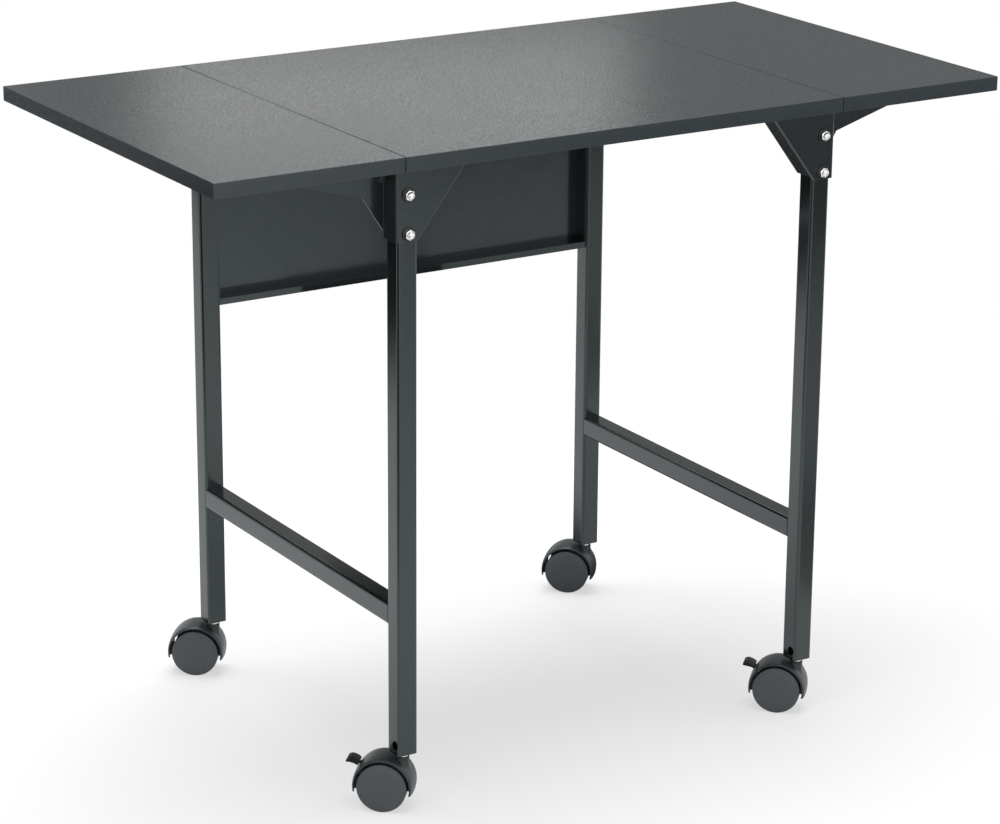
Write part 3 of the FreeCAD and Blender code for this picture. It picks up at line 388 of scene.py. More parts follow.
laminate = laminate_finish()
edge_banding = edge_band_finish()
print("made", laminate.name, "and", edge_banding.name)

# %% [markdown]
# ## Enamel and steel
#
# Baked enamel flows before it sets, so it is smooth but never flat. A shallow bump a few
# centimetres wide bends its reflections, a finer one gives orange peel, and a few specks of
# dust sit in it. Zinc plating is bright with fine turning marks, and so is the steel of the
# casters. Screws, washers and pivots are blackened.

# %% Enamel, plating and steel
ENAMEL_SHEEN = (0.86, 0.98, 1, 1)
DUST = (0.050, 0.060, 0.062)


def enamel_finish(name, ripple, peel, base):
    """Glossy black enamel whose reflections ripple."""
    finish = Finish(name, specular_ior_level=0.85, specular_tint=ENAMEL_SHEEN)
    flow = finish.noise(22, 2, 0.5)
    skin = finish.noise(420, 2, 0.5)
    speck = finish.step(finish.noise(900, 1, 0.4), 0.70, 0.76)
    return finish.wear(
        base_color=finish.blend(speck, base, DUST),
        roughness=0.13 + skin * 0.09,
        normal=finish.bump(flow * ripple + skin * peel, 0.35, 0.001),
    )


def steel_finish(name, dark, light, rough):
    """Plated or blackened steel with turning marks."""
    finish = Finish(name, metallic=1.0)
    marks = finish.noise(1400, 2, 0.6)
    stain = finish.noise(240, 2, 0.5)
    return finish.wear(
        base_color=finish.blend(stain, dark, light),
        roughness=rough + marks * 0.16,
        normal=finish.bump(marks, 0.05, 0.0001),
    )


tube_enamel = enamel_finish("tube_enamel", 0.45, 0.05, (0.005, 0.0075, 0.008))
panel_enamel = enamel_finish("panel_enamel", 0.9, 0.06, (0.009, 0.0125, 0.0135))
bracket_enamel = enamel_finish("bracket_enamel", 0.4, 0.08, (0.014, 0.018, 0.019))
bright_zinc = steel_finish("bright_zinc", (0.72, 0.72, 0.72), (0.94, 0.94, 0.94), 0.12)
black_oxide = steel_finish("black_oxide", (0.02, 0.02, 0.021), (0.06, 0.06, 0.062), 0.25)
caster_steel = steel_finish("caster_steel", (0.60, 0.60, 0.61), (0.82, 0.82, 0.83), 0.16)
print("made three enamels and three steels")

# %% [markdown]
# ## Moulded plastic
#
# Hoods, wheels and levers are satin black. A spark-eroded mould leaves a grain far finer than a
# millimetre, and the colour clouds a little over each moulding. The wheels come from another
# plastic than the hoods, a shade greyer and less glossy.

# %% Moulded plastics


def moulded_finish(name, dark, light, rough, shine):
    """Satin moulded plastic."""
    finish = Finish(name, specular_ior_level=shine, specular_tint=COOL_SHEEN)
    grain = finish.noise(1600, 2, 0.6)
    cloud = finish.noise(60, 3, 0.5)
    return finish.wear(
        base_color=finish.blend(cloud, dark, light),
        roughness=rough + grain * 0.15,
        normal=finish.bump(grain, 0.12, 0.0001),
    )


hood_plastic = moulded_finish(
    "hood_plastic", (0.022, 0.029, 0.031), (0.030, 0.038, 0.040), 0.30, 0.42
)
wheel_plastic = moulded_finish(
    "wheel_plastic", (0.068, 0.079, 0.086), (0.079, 0.091, 0.099), 0.36, 0.42
)
lever_plastic = moulded_finish(
    "lever_plastic", (0.005, 0.007, 0.008), (0.008, 0.011, 0.012), 0.34, 0.2
)
socket_plastic = moulded_finish(
    "socket_plastic", (0.002, 0.002, 0.002), (0.004, 0.004, 0.004), 0.6, 0.0
)

finish_of_slot = {
    "laminate_board": laminate,
    "edge_band": edge_banding,
    "tube_enamel": tube_enamel,
    "panel_enamel": panel_enamel,
    "bracket_enamel": bracket_enamel,
    "bright_zinc": bright_zinc,
    "black_screw": black_oxide,
    "socket_plastic": socket_plastic,
    "hood_plastic": hood_plastic,
    "wheel_plastic": wheel_plastic,
    "lever_plastic": lever_plastic,
    "caster_steel": caster_steel,
}
for node, piece in nodes.items():
    piece.data.materials.clear()
    piece.data.materials.append(finish_of_slot[slot_of_node[node]])
print("every node has its finish")

# %% [markdown]
# ## From a mesh to a piece
#
# Every finer piece ends the same way: it takes the material of a node, rides on that node's
# body, and either stands for the node or adds a detail to it. `spots` reads where the separate
# solids of a node lie, so a bolt lands exactly where the construction has it.

# %% Helpers for pieces
CORNERS = ("front_left", "front_right", "rear_left", "rear_right")
SAME_PLACE = 2e-6


def detail_on(name, mesh, node, sharp):
    """A finished mesh on the body of a node. Edges over that many degrees stay sharp."""
    mesh.name = name
    mesh.materials.clear()
    mesh.materials.append(finish_of_slot[slot_of_node[node]])
    if sharp:
        mesh.shade_smooth()
        mesh.set_sharp_from_angle(angle=math.radians(sharp))
    piece = bpy.data.objects.new(name, mesh)
    scene.collection.objects.link(piece)
    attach(piece, body_of_node[node])
    return piece


def stand_for(name, mesh, node, sharp=None):
    """A finished mesh becomes the piece that stands for a node."""
    piece = detail_on(name, mesh, node, sharp)
    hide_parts(node)
    return piece


def from_form(name, form, place=None):
    """A bmesh becomes a mesh with outward normals, moved to its place."""
    if place is not None:
        bmesh.ops.transform(form, matrix=place, verts=form.verts)
    bmesh.ops.recalc_face_normals(form, faces=form.faces)
    mesh = bpy.data.meshes.new(name)
    form.to_mesh(mesh)
    form.free()
    return mesh


def welded(mesh):
    """A bmesh of a node's mesh, whose loose triangles share their corners again."""
    form = bmesh.new()
    form.from_mesh(mesh)
    bmesh.ops.remove_doubles(form, verts=form.verts, dist=SAME_PLACE)
    return form


def spots(node):
    """The lowest and highest corner of each separate solid of a node."""
    form = welded(nodes[node].data)
    form.verts.index_update()
    left, found = set(form.verts), []
    while left:
        island, edge_of_search = set(), [next(iter(left))]
        while edge_of_search:
            point = edge_of_search.pop()
            if point in island:
                continue
            island.add(point)
            edge_of_search += [edge.other_vert(point) for edge in point.link_edges]
        left -= island
        places = [point.co for point in island]
        low = Vector(min(place[axis] for place in places) for axis in range(3))
        high = Vector(max(place[axis] for place in places) for axis in range(3))
        found.append((low, high))
    form.free()
    return sorted(found, key=lambda pair: tuple(round(value, 5) for value in pair[0]))


def vertex(form, x, y, z):
    """A vertex at a place in mm."""
    return form.verts.new((x * MM, y * MM, z * MM))


def ring_of(form, radius, height, count, x=0.0):
    """Vertices on a level circle round a place on the X axis, in mm."""
    angles = (2 * math.pi * k / count for k in range(count))
    return [vertex(form, x + radius * math.cos(a), radius * math.sin(a), height) for a in angles]


def bridge(form, rings):
    """A wall of faces from each ring of vertices to the next."""
    for ring, following in zip(rings, rings[1:]):
        for k in range(len(ring)):
            after = (k + 1) % len(ring)
            form.faces.new((ring[k], ring[after], following[after], following[k]))


def turned(form, profile, steps):
    """Adds a solid of revolution about Z. The profile runs from pole to pole, in mm."""
    rings = [ring_of(form, radius, height, steps if radius else 1) for radius, height in profile]
    for ring, following in zip(rings, rings[1:]):
        for step in range(steps):
            after = (step + 1) % steps
            corners = [
                ring[step % len(ring)], ring[after % len(ring)],
                following[after % len(following)], following[step % len(following)],
            ]
            corners = list(dict.fromkeys(corners))
            if len(corners) > 2:
                form.faces.new(corners)


def turned_mesh(name, profile, steps, place=None):
    """A mesh that is one solid of revolution, moved to its place."""
    form = bmesh.new()
    turned(form, profile, steps)
    return from_form(name, form, place)


def modified(mesh, *modifiers, before=None):
    """The mesh that comes out of a stack of modifiers."""
    holder = bpy.data.objects.new("seed", mesh)
    scene.collection.objects.link(holder)
    if before:
        before(holder)
    for kind, settings in modifiers:
        extra = holder.modifiers.new(kind.lower(), kind)
        for name, value in settings.items():
            setattr(extra, name, value)
    bpy.context.view_layer.update()
    depsgraph = bpy.context.evaluated_depsgraph_get()
    result = bpy.data.meshes.new_from_object(holder.evaluated_get(depsgraph), depsgraph=depsgraph)
    bpy.data.objects.remove(holder)
    return result


print("piece helpers ready")

# %% [markdown]
# ## Pressed, sawn and folded pieces
#
# A node arrives as loose triangles, which is right for measuring but leaves each edge knife
# sharp. Real steel and board never have such an edge: a tiny radius catches the light along it,
# and that thin bright line is what makes an edge read as solid. The copy is welded and its flat
# faces are joined again. A Bevel modifier rounds whatever is sharper than about thirty degrees,
# and a Weighted Normal modifier keeps the large faces flat beside the rounding.

# %% Soften the edges of a node
FLAT_WITHIN, ROUNDED_FROM, ROUNDING_STEPS = 1.0, 32, 2
FLAT_FACES = ("WEIGHTED_NORMAL", {"mode": "FACE_AREA", "keep_sharp": True, "weight": 100})
EDGE_RADIUS = {"_bracket": 0.4, "_leaf_arm": 0.35, "_edge_band": 0.3, "back_panel": 0.4}
PIVOT_EDGE_RADIUS = 0.25


def softened(node, radius):
    """A welded copy of a node with rounded edges, which stands for the node."""
    mesh = nodes[node].data.copy()
    form = welded(mesh)
    bmesh.ops.dissolve_limit(
        form, angle_limit=math.radians(FLAT_WITHIN), verts=form.verts, edges=form.edges,
        delimit={"NORMAL"},
    )
    form.to_mesh(mesh)
    form.free()
    mesh.shade_smooth()
    rounding = {
        "width": radius * MM, "segments": ROUNDING_STEPS, "limit_method": "ANGLE",
        "angle_limit": math.radians(ROUNDED_FROM), "harden_normals": True,
    }
    return stand_for(node + "_softened", modified(mesh, ("BEVEL", rounding), FLAT_FACES), node)


def blacken(piece):
    """Gives a piece the blackened steel of the screws."""
    piece.data.materials.clear()
    piece.data.materials.append(black_oxide)


for ending, radius in EDGE_RADIUS.items():
    for node in nodes:
        if node.endswith(ending):
            softened(node, radius)
for node in ("pivot_pins", "pivot_nuts"):
    blacken(softened(node, PIVOT_EDGE_RADIUS))
print("softened pressings, bands, panel and pivots")

# %% [markdown]
# ## Square tube
#
# The frame is cut from square steel tube with a rolled corner. Tube is what a sweep is made
# for: a straight path, a square profile with rounded corners, and a wall added inwards. The
# sweep is a small geometry node tree, so one tree serves four legs and two side bars.

# %% The tube tree
TUBE_SIDE, TUBE_CORNER, TUBE_WALL, CORNER_POINTS = 22.2, 3.2, 1.2, 6


def new_tree(name, inputs):
    """An empty geometry tree: its graph, its input sockets, and their identifiers by name."""
    tree = bpy.data.node_groups.new(name, "GeometryNodeTree")
    sockets = tree.interface
    sockets.new_socket("Geometry", in_out="INPUT", socket_type="NodeSocketGeometry")
    found = {
        title: sockets.new_socket(title, in_out="INPUT", socket_type="NodeSocket" + kind).identifier
        for title, kind in inputs.items()
    }
    sockets.new_socket("Geometry", in_out="OUTPUT", socket_type="NodeSocketGeometry")
    return Graph(tree), tree.nodes.new("NodeGroupInput").outputs, found


def end_tree(graph, start, geometry):
    """Realizes the instances, sets the material and closes the tree."""
    real = graph.add("GeometryNodeRealizeInstances", {0: geometry})
    painted = graph.add("GeometryNodeSetMaterial", {0: real, "Material": start["Material"]})
    graph.node("NodeGroupOutput", {0: painted})


def grown(tree, identifiers, seed_mesh, values, *after):
    """The mesh that a tree grows from a seed mesh, with modifiers applied after it."""

    def plant(holder):
        """Puts the tree on the seed, with its named inputs set."""
        modifier = holder.modifiers.new("tree", "NODES")
        modifier.node_group = tree
        for title, value in values.items():
            modifier[identifiers[title]] = value

    return modified(seed_mesh, *after, before=plant)


def rounded_corners(graph, curve, radius, points):
    """A curve whose corners are rounded with that many points each."""
    sockets = {0: curve, "Radius": radius, "Count": points}
    return graph.add("GeometryNodeFilletCurve", sockets, mode="POLY")


def square_tube_tree():
    """Sweeps a rounded square along the edges of a mesh."""
    inputs = {"Side": "Float", "Corner": "Float", "Material": "Material"}
    graph, start, found = new_tree("square_tube", inputs)
    path = graph.add("GeometryNodeMeshToCurve", {0: start["Geometry"]})
    sides = {"Width": start["Side"], "Height": start["Side"]}
    square = graph.add("GeometryNodeCurvePrimitiveQuadrilateral", sides)
    rolled = rounded_corners(graph, square, start["Corner"], CORNER_POINTS)
    swept = graph.add("GeometryNodeCurveToMesh", {"Curve": path, "Profile Curve": rolled})
    end_tree(graph, start, swept)
    return graph.tree, found


square_tube, tube_inputs = square_tube_tree()


def tube_piece(node):
    """A leg or a side bar as rolled tube, along the longest side of its node."""
    low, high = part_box(node)
    middle = (low + high) / 2
    size = high - low
    axis = max(range(3), key=lambda index: size[index])
    ends = [middle.copy(), middle.copy()]
    ends[0][axis], ends[1][axis] = low[axis], high[axis]
    path = bpy.data.meshes.new("path")
    path.from_pydata(ends, [(0, 1)], [])
    values = {"Side": TUBE_SIDE * MM, "Corner": TUBE_CORNER * MM, "Material": tube_enamel}
    wall = ("SOLIDIFY", {"thickness": TUBE_WALL * MM, "offset": -1.0})
    mesh = grown(square_tube, tube_inputs, path, values, wall, FLAT_FACES)
    return stand_for(node + "_tube", mesh, node)


for node in nodes:
    if node.endswith(("_leg", "_side_bar")):
        print(node, len(tube_piece(node).data.polygons), "faces")

# %% [markdown]
# ## Weld beads
#
# Each side bar is welded to a front and a rear leg. The weld is ground and painted over, so all
# that stays is a soft raised line round the bar. It is a thin bead that follows the bar's
# outline, and its thickness wanders a little, as a weld does.

# %% The weld beads
BEAD_RADIUS, BEAD_SINK, THINNEST, WANDER, WANDER_SCALE = 1.7, 0.5, 0.85, 0.3, 220.0
LOOP_CORNER_POINTS, LOOP_POINTS, BEAD_POINTS = 5, 120, 10


def weld_bead_tree():
    """Sweeps a circle of wandering size along the edges of a mesh."""
    inputs = {"Radius": "Float", "Corner": "Float", "Material": "Material"}
    graph, start, found = new_tree("weld_bead", inputs)
    path = graph.add("GeometryNodeMeshToCurve", {0: start["Geometry"]})
    loop = rounded_corners(graph, path, start["Corner"], LOOP_CORNER_POINTS)
    even = graph.add("GeometryNodeResampleCurve", {"Curve": loop, "Count": LOOP_POINTS})
    noise = graph.add("ShaderNodeTexNoise", {"Scale": WANDER_SCALE, "Detail": 1.0})
    size = THINNEST + noise * WANDER
    sized = graph.add("GeometryNodeSetCurveRadius", {0: even, "Radius": size})
    sockets = {"Resolution": BEAD_POINTS, "Radius": 1.0}
    circle = graph.add("GeometryNodeCurvePrimitiveCircle", sockets)
    triple = graph.add("ShaderNodeCombineXYZ", {axis: start["Radius"] for axis in range(3)})
    scaled = graph.add("GeometryNodeTransform", {0: circle, "Scale": triple})
    spread = graph.add("GeometryNodeInputRadius")
    sockets = {"Curve": sized, "Profile Curve": scaled, "Scale": spread}
    end_tree(graph, start, graph.add("GeometryNodeCurveToMesh", sockets))
    return graph.tree, found


weld_bead, bead_inputs = weld_bead_tree()
bead_values = {
    "Radius": BEAD_RADIUS * MM,
    "Corner": (TUBE_CORNER - BEAD_RADIUS) * MM,
    "Material": tube_enamel,
}

for side in ("left", "right"):
    low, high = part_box(side + "_side_bar")
    inset = Vector((BEAD_RADIUS, -BEAD_SINK, BEAD_RADIUS)) * MM
    low, high = low + inset, high - inset
    for end, y in (("front", low.y), ("rear", high.y)):
        corners = [(low.x, y, low.z), (high.x, y, low.z), (high.x, y, high.z), (low.x, y, high.z)]
        loop = bpy.data.meshes.new("path")
        loop.from_pydata(corners, [(0, 1), (1, 2), (2, 3), (3, 0)], [])
        mesh = grown(weld_bead, bead_inputs, loop, bead_values)
        detail_on(f"{side}_bar_{end}_weld", mesh, side + "_side_bar", 60)
print("four weld beads")

# %% [markdown]
# ## Bolts, washers and screws
#
# Fasteners are bought, so each kind is made once and set many times. Each place carries the
# direction that the head faces. The tree turns the head that way, spins it by a random angle,
# because nobody lines up screws, and makes the copies real.

# %% The fastener tree
SPIN_SEED = 7


def fastener_tree():
    """Sets a template at every point, facing the point's own way, with a random spin."""
    graph, start, found = new_tree("set_fasteners", {"Template": "Object", "Material": "Material"})
    shape = graph.add("GeometryNodeObjectInfo", {"Object": start["Template"]}, "Geometry")
    sockets = {"Name": "facing"}
    way = graph.add("GeometryNodeInputNamedAttribute", sockets, data_type="FLOAT_VECTOR")
    turn = graph.add("FunctionNodeAlignRotationToVector", {"Vector": way}, axis="Z")
    sockets = {"Max": 2 * math.pi, "Seed": SPIN_SEED}
    angle = graph.add("FunctionNodeRandomValue", sockets, "Value", data_type="FLOAT")
    sockets = {"Axis": (0, 0, 1), "Angle": angle}
    about = graph.add("FunctionNodeAxisAngleToRotation", sockets)
    sockets = {"Rotation": turn, "Rotate By": about}
    spun = graph.add("FunctionNodeRotateRotation", sockets, rotation_space="LOCAL")
    sockets = {"Points": start["Geometry"], "Instance": shape, "Rotation": spun}
    end_tree(graph, start, graph.add("GeometryNodeInstanceOnPoints", sockets))
    return graph.tree, found


set_fasteners, fastener_inputs = fastener_tree()


def fasteners(name, template, places, node, dress=stand_for):
    """Copies of a template at places, each a point and the way its head faces."""
    points = bpy.data.meshes.new("points")
    points.from_pydata([point for point, _ in places], [], [])
    facings = points.attributes.new("facing", "FLOAT_VECTOR", "POINT")
    for index, (_, way) in enumerate(places):
        facings.data[index].vector = way
    pattern = bpy.data.objects.new("template", template)
    scene.collection.objects.link(pattern)
    values = {"Template": pattern, "Material": finish_of_slot[slot_of_node[node]]}
    mesh = grown(set_fasteners, fastener_inputs, points, values)
    bpy.data.objects.remove(pattern)
    return dress(name, mesh, node, 35)


def heads(node, way_of):
    """The outermost point of each fastener of a node, and the way it faces."""
    places = []
    for low, high in spots(node):
        middle = (low + high) / 2
        way = way_of(middle)
        reach = (high - low) / 2
        offset = Vector(way[axis] * reach[axis] for axis in range(3))
        places.append((middle + offset, way))
    return places


def front_or_rear(middle):
    """Bolts face the near side of their leg."""
    return Vector((0, math.copysign(1, middle.y), 0))


def downwards(middle):
    """Screws into a board face the floor."""
    return Vector((0, 0, -1))


print("fastener tree ready")

# %% [markdown]
# ## The leg bolts
#
# The brackets hang on hexagon bolts with a domed cap, the kind that hides its thread end. They
# are zinc plated and nearly white against the black enamel. Each sits on a plain washer that
# stands proud of the bracket.

# %% Bolts and washers
HEX_CORNER, HEX_HEIGHT, HEX_BEVEL, HEX_BEVEL_HEIGHT = 5.3, 3.0, 0.75, 0.45
CAP_RADIUS, CAP_HEIGHT, CAP_STRAIGHT = 3.9, 3.6, 0.9
SHANK_RADIUS, SHANK_BEVEL = 3.0, 0.5
WASHER_RADIUS, WASHER_THICK = 7.2, 1.2


def bolt_template(length):
    """A domed cap on a chamfered hexagon on a shank. Its tip is at zero and it points up."""
    form = bmesh.new()
    foot, top = -(CAP_HEIGHT + HEX_HEIGHT), -CAP_HEIGHT
    hexagon = [
        ring_of(form, HEX_CORNER, foot, 6),
        ring_of(form, HEX_CORNER, top - HEX_BEVEL_HEIGHT, 6),
        ring_of(form, HEX_CORNER - HEX_BEVEL, top, 6),
    ]
    bridge(form, hexagon)
    form.faces.new(hexagon[-1])
    form.faces.new(reversed(hexagon[0]))
    dome = [(0, top), (CAP_RADIUS, top)]
    for a in (math.radians(step) for step in range(0, 90, 10)):
        rise = CAP_STRAIGHT + (CAP_HEIGHT - CAP_STRAIGHT) * math.sin(a)
        dome.append((CAP_RADIUS * math.cos(a), top + rise))
    turned(form, dome + [(0, 0)], 32)
    shank = [
        (0, foot), (SHANK_RADIUS, foot), (SHANK_RADIUS, -length + SHANK_BEVEL),
        (SHANK_RADIUS - SHANK_BEVEL, -length), (0, -length),
    ]
    turned(form, shank, 24)
    return from_form("bolt_template", form)


def washer_template():
    """A plain washer with a rounded rim, its outer face at zero."""
    rim = WASHER_RADIUS
    profile = [
        (0, 0), (rim - 0.35, 0), (rim - 0.1, -0.1), (rim, -0.35),
        (rim, -WASHER_THICK), (0, -WASHER_THICK),
    ]
    return turned_mesh("washer_template", profile, 48)


bolt_low, bolt_high = spots("leg_bolts")[0]
bolt_length = (bolt_high.y - bolt_low.y) / MM
bolts, washers = heads("leg_bolts", front_or_rear), heads("leg_washers", front_or_rear)
fasteners("cap_bolts", bolt_template(bolt_length), bolts, "leg_bolts")
blacken(fasteners("plain_washers", washer_template(), washers, "leg_washers"))
print("eight bolts, each", round(bolt_length, 2), "mm long, on washers")

# %% [markdown]
# ## Wood screws
#
# Under the boards everything hangs on pan head wood screws with a cross recess. They are only
# seen from below, or when a leaf is lowered, so the recess is the one detail worth having.

# %% Wood screws
HEAD_FLAT, HEAD_RADIUS, HEAD_HEIGHT, SCREW_RADIUS = 2.7, 3.8, 2.2, 1.9
RECESS_WIDE, RECESS_REACH, RECESS_DEPTH, RECESS_TAPER = 0.4, 1.8, 1.2, 0.7
SCREW_STEPS = 32


def screw_template(length):
    """A pan head with a cross recess on a tapered shank, with the head's top at zero."""
    form = bmesh.new()
    top = ring_of(form, HEAD_FLAT, 0, SCREW_STEPS)
    wide, reach, taper = RECESS_WIDE, RECESS_REACH, RECESS_TAPER
    outline = [
        (wide, wide), (wide, reach), (-wide, reach), (-wide, wide), (-reach, wide), (-reach, -wide),
        (-wide, -wide), (-wide, -reach), (wide, -reach), (wide, -wide), (reach, -wide), (reach, wide),
    ]
    upper = [vertex(form, x, y, 0) for x, y in outline]
    lower = [vertex(form, x * taper, y * taper, -RECESS_DEPTH) for x, y in outline]
    edges = [
        form.edges.new((ring[k], ring[(k + 1) % len(ring)]))
        for ring in (top, upper)
        for k in range(len(ring))
    ]
    bmesh.ops.triangle_fill(form, edges=edges, use_beauty=True)
    bridge(form, [upper, lower])
    form.faces.new(lower)
    outer = (
        (3.4, -0.35), (HEAD_RADIUS, -1.0), (HEAD_RADIUS, -HEAD_HEIGHT),
        (SCREW_RADIUS, -HEAD_HEIGHT), (SCREW_RADIUS, -length + 2.5), (0.3, -length),
    )
    rings = [top, *(ring_of(form, radius, height, SCREW_STEPS) for radius, height in outer)]
    bridge(form, rings)
    form.faces.new(rings[-1])
    return from_form("screw_template", form)


for node in ("top_screws", "left_arm_screws", "right_arm_screws"):
    places = heads(node, downwards)
    low, high = spots(node)[0]
    fasteners(node + "_pan_heads", screw_template((high.z - low.z) / MM), places, node)
    print(node, len(places))

# %% [markdown]
# ## Socket buttons
#
# A caster's stem goes into a plastic socket in the end of the leg, and a round button of the
# socket snaps through a hole in the tube. Both front legs show it on their left faces. The
# rear legs are the same piece turned round, so theirs is on the right face.

# %% Socket buttons
BUTTON_RADIUS, BUTTON_DEPTH, BUTTON_PROUD = 4.8, 1.4, 0.6
BUTTON_RISE, BUTTON_INSET = 10.0, 6.9


def button_template():
    """A low dome with a rounded rim."""
    rim = BUTTON_RADIUS
    profile = [
        (0, 0), (rim * 0.5, -0.04), (rim * 0.8, -0.16), (rim, -0.45),
        (rim, -BUTTON_DEPTH), (0, -BUTTON_DEPTH),
    ]
    return turned_mesh("button_template", profile, 32)


buttons = []
for corner in CORNERS:
    low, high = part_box(corner + "_leg")
    if "front" in corner:
        side, x, y = -1, low.x, low.y + BUTTON_INSET * MM
    else:
        side, x, y = 1, high.x, high.y - BUTTON_INSET * MM
    point = Vector((x + side * BUTTON_PROUD * MM, y, low.z + BUTTON_RISE * MM))
    buttons.append((point, Vector((side, 0, 0))))
fasteners("socket_buttons", button_template(), buttons, "caster_sockets", detail_on)
print("four socket buttons")

# %% [markdown]
# ## Casters
#
# Each twin-wheel caster is worked out in its own small frame, and only then set in place. Its
# origin is the middle of the axle, X is the way it trails, Y is the axle and Z is up. The
# numbers in this part are millimetres in that frame.

# %% The frame of a caster


def caster_place(corner):
    """The matrix from a caster's own frame to the table's."""
    centre = Vector(joints[corner + "_left_roll"]["pos_m"])
    across = Vector(joints[corner + "_left_roll"]["axis"])
    trail = across.cross(Vector((0, 0, 1)))
    turn = Matrix((trail, across, Vector((0, 0, 1)))).transposed().to_4x4()
    return Matrix.Translation(centre) @ turn


UPRIGHT_TO_AXLE = Matrix.Rotation(math.radians(-90), 4, "X")
for corner in CORNERS:
    print(corner, "trails", [round(value, 3) for value in caster_place(corner).col[0][:3]])

# %% [markdown]
# ## Wheels
#
# A wheel is a moulded disc. Its outer face is flat and a little raised inside a ring, with a
# small radius into the tread, and that ring catches a thin curve of light near the top.

# %% Wheels
WHEEL_RADIUS, WHEEL_INNER, WHEEL_OUTER = 25.4, 6.2, 19.6
AXLE_BORE, BORE_END, INNER_BEVEL = 2.56, 15.3, 0.7
TREAD_ROUNDING, RING_DEPTH, FACE_RADIUS, FACE_MIDDLE = 1.0, 0.95, 21.1, 12
STEP_OUT_AND_DOWN = ((1.6, RING_DEPTH), (1.2, 0.85), (0.3, 0.05))


def wheel_mesh(place, side):
    """A wheel in the table's frame, on one side of its caster."""
    middle = (WHEEL_RADIUS - TREAD_ROUNDING, WHEEL_OUTER - RING_DEPTH - TREAD_ROUNDING)
    rounding = [
        (middle[0] + TREAD_ROUNDING * math.sin(a), middle[1] + TREAD_ROUNDING * math.cos(a))
        for a in (math.radians(step) for step in range(90, -1, -15))
    ]
    step = [(FACE_RADIUS + out, WHEEL_OUTER - down) for out, down in STEP_OUT_AND_DOWN]
    profile = [
        (0, BORE_END), (AXLE_BORE, BORE_END), (AXLE_BORE, WHEEL_INNER),
        (WHEEL_RADIUS - INNER_BEVEL, WHEEL_INNER), (WHEEL_RADIUS, WHEEL_INNER + INNER_BEVEL),
        *rounding, *step, (FACE_RADIUS, WHEEL_OUTER), (FACE_MIDDLE, WHEEL_OUTER), (0, WHEEL_OUTER),
    ]
    facing_side = Matrix.Diagonal((1, 1, side, 1))
    return turned_mesh("wheel", profile, 96, place @ UPRIGHT_TO_AXLE @ facing_side)


for corner in CORNERS:
    place = caster_place(corner)
    to_caster = place.inverted()
    for hand in ("left", "right"):
        node = f"{corner}_{hand}_wheel"
        low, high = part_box(node)
        side = math.copysign(1, (to_caster @ ((low + high) / 2)).y)
        stand_for(node + "_moulding", wheel_mesh(place, side), node, 25)
print("eight wheels")

# %% [markdown]
# ## Hoods
#
# The hood is the most skilled moulding on the table: a crowned shell over both wheels, a bead
# along each rim, a neck that flares out of the shell, and a core between the wheels that holds
# the axle. The shell is a grid, swept by angle round the axle and by width across it, with the
# brake's slot left out of the grid on the front casters.

# %% The hood's shell
RIM, CROWN, CROWN_POWER, HALF, WALL = 29.8, 1.4, 2.4, 17.6, 1.6
TAIL_DROP, NOSE_DROP = 5.8, 7.5
TAIL = -math.degrees(math.atan2(TAIL_DROP, RIM))
NOSE = 180 + math.degrees(math.atan2(NOSE_DROP, RIM))
SLOT_HALF, SLOT_LOW, SLOT_HIGH = 2.4, 20.6, 45.8
BEAD, BEAD_DOWN, DIP_BESIDE_BEAD = 0.95, 1.05, 0.28
# The grid's lines on one half of the shell, measured from its middle.
ACROSS = (0, 2.4, 5, 8, 10.5, 12.5, 14.2, 15.3, 15.8)
ROWS, END_ANGLE, END_SHRINK = 88, 0.9, 0.42


def crowned(across):
    """The outer radius of the shell, this far from its middle."""
    return RIM + CROWN * (1 - (abs(across) / HALF) ** CROWN_POWER)


def shell_section(shrink):
    """The closed section of the shell as (across, radius), shrunk for its rounded ends."""
    columns = [-width for width in reversed(ACROSS[1:])] + list(ACROSS)
    dip = {ACROSS[-1]: DIP_BESIDE_BEAD}
    outer = [(y, crowned(y) - dip.get(abs(y), 0) - shrink) for y in columns]
    inner = [(y, crowned(y) - WALL + shrink) for y in reversed(columns)]
    middle, level = HALF - BEAD, crowned(HALF - BEAD) - BEAD_DOWN
    size = BEAD - shrink
    angles = [math.radians(angle) for angle in range(125, -126, -25)]
    right_bead = [(middle + size * math.cos(a), level + size * math.sin(a)) for a in angles]
    left_bead = [(-y, radius) for y, radius in reversed(right_bead)]
    return outer, right_bead, inner, left_bead


def shell_angles():
    """The angle of each row, with one more near each end and two on the slot's edges."""
    angles = [TAIL + (NOSE - TAIL) * k / ROWS for k in range(ROWS + 1)]
    angles[1:1] = [TAIL + END_ANGLE]
    angles[-1:-1] = [NOSE - END_ANGLE]
    for edge in (SLOT_LOW, SLOT_HIGH):
        angles[min(range(len(angles)), key=lambda k: abs(angles[k] - edge))] = edge
    return angles


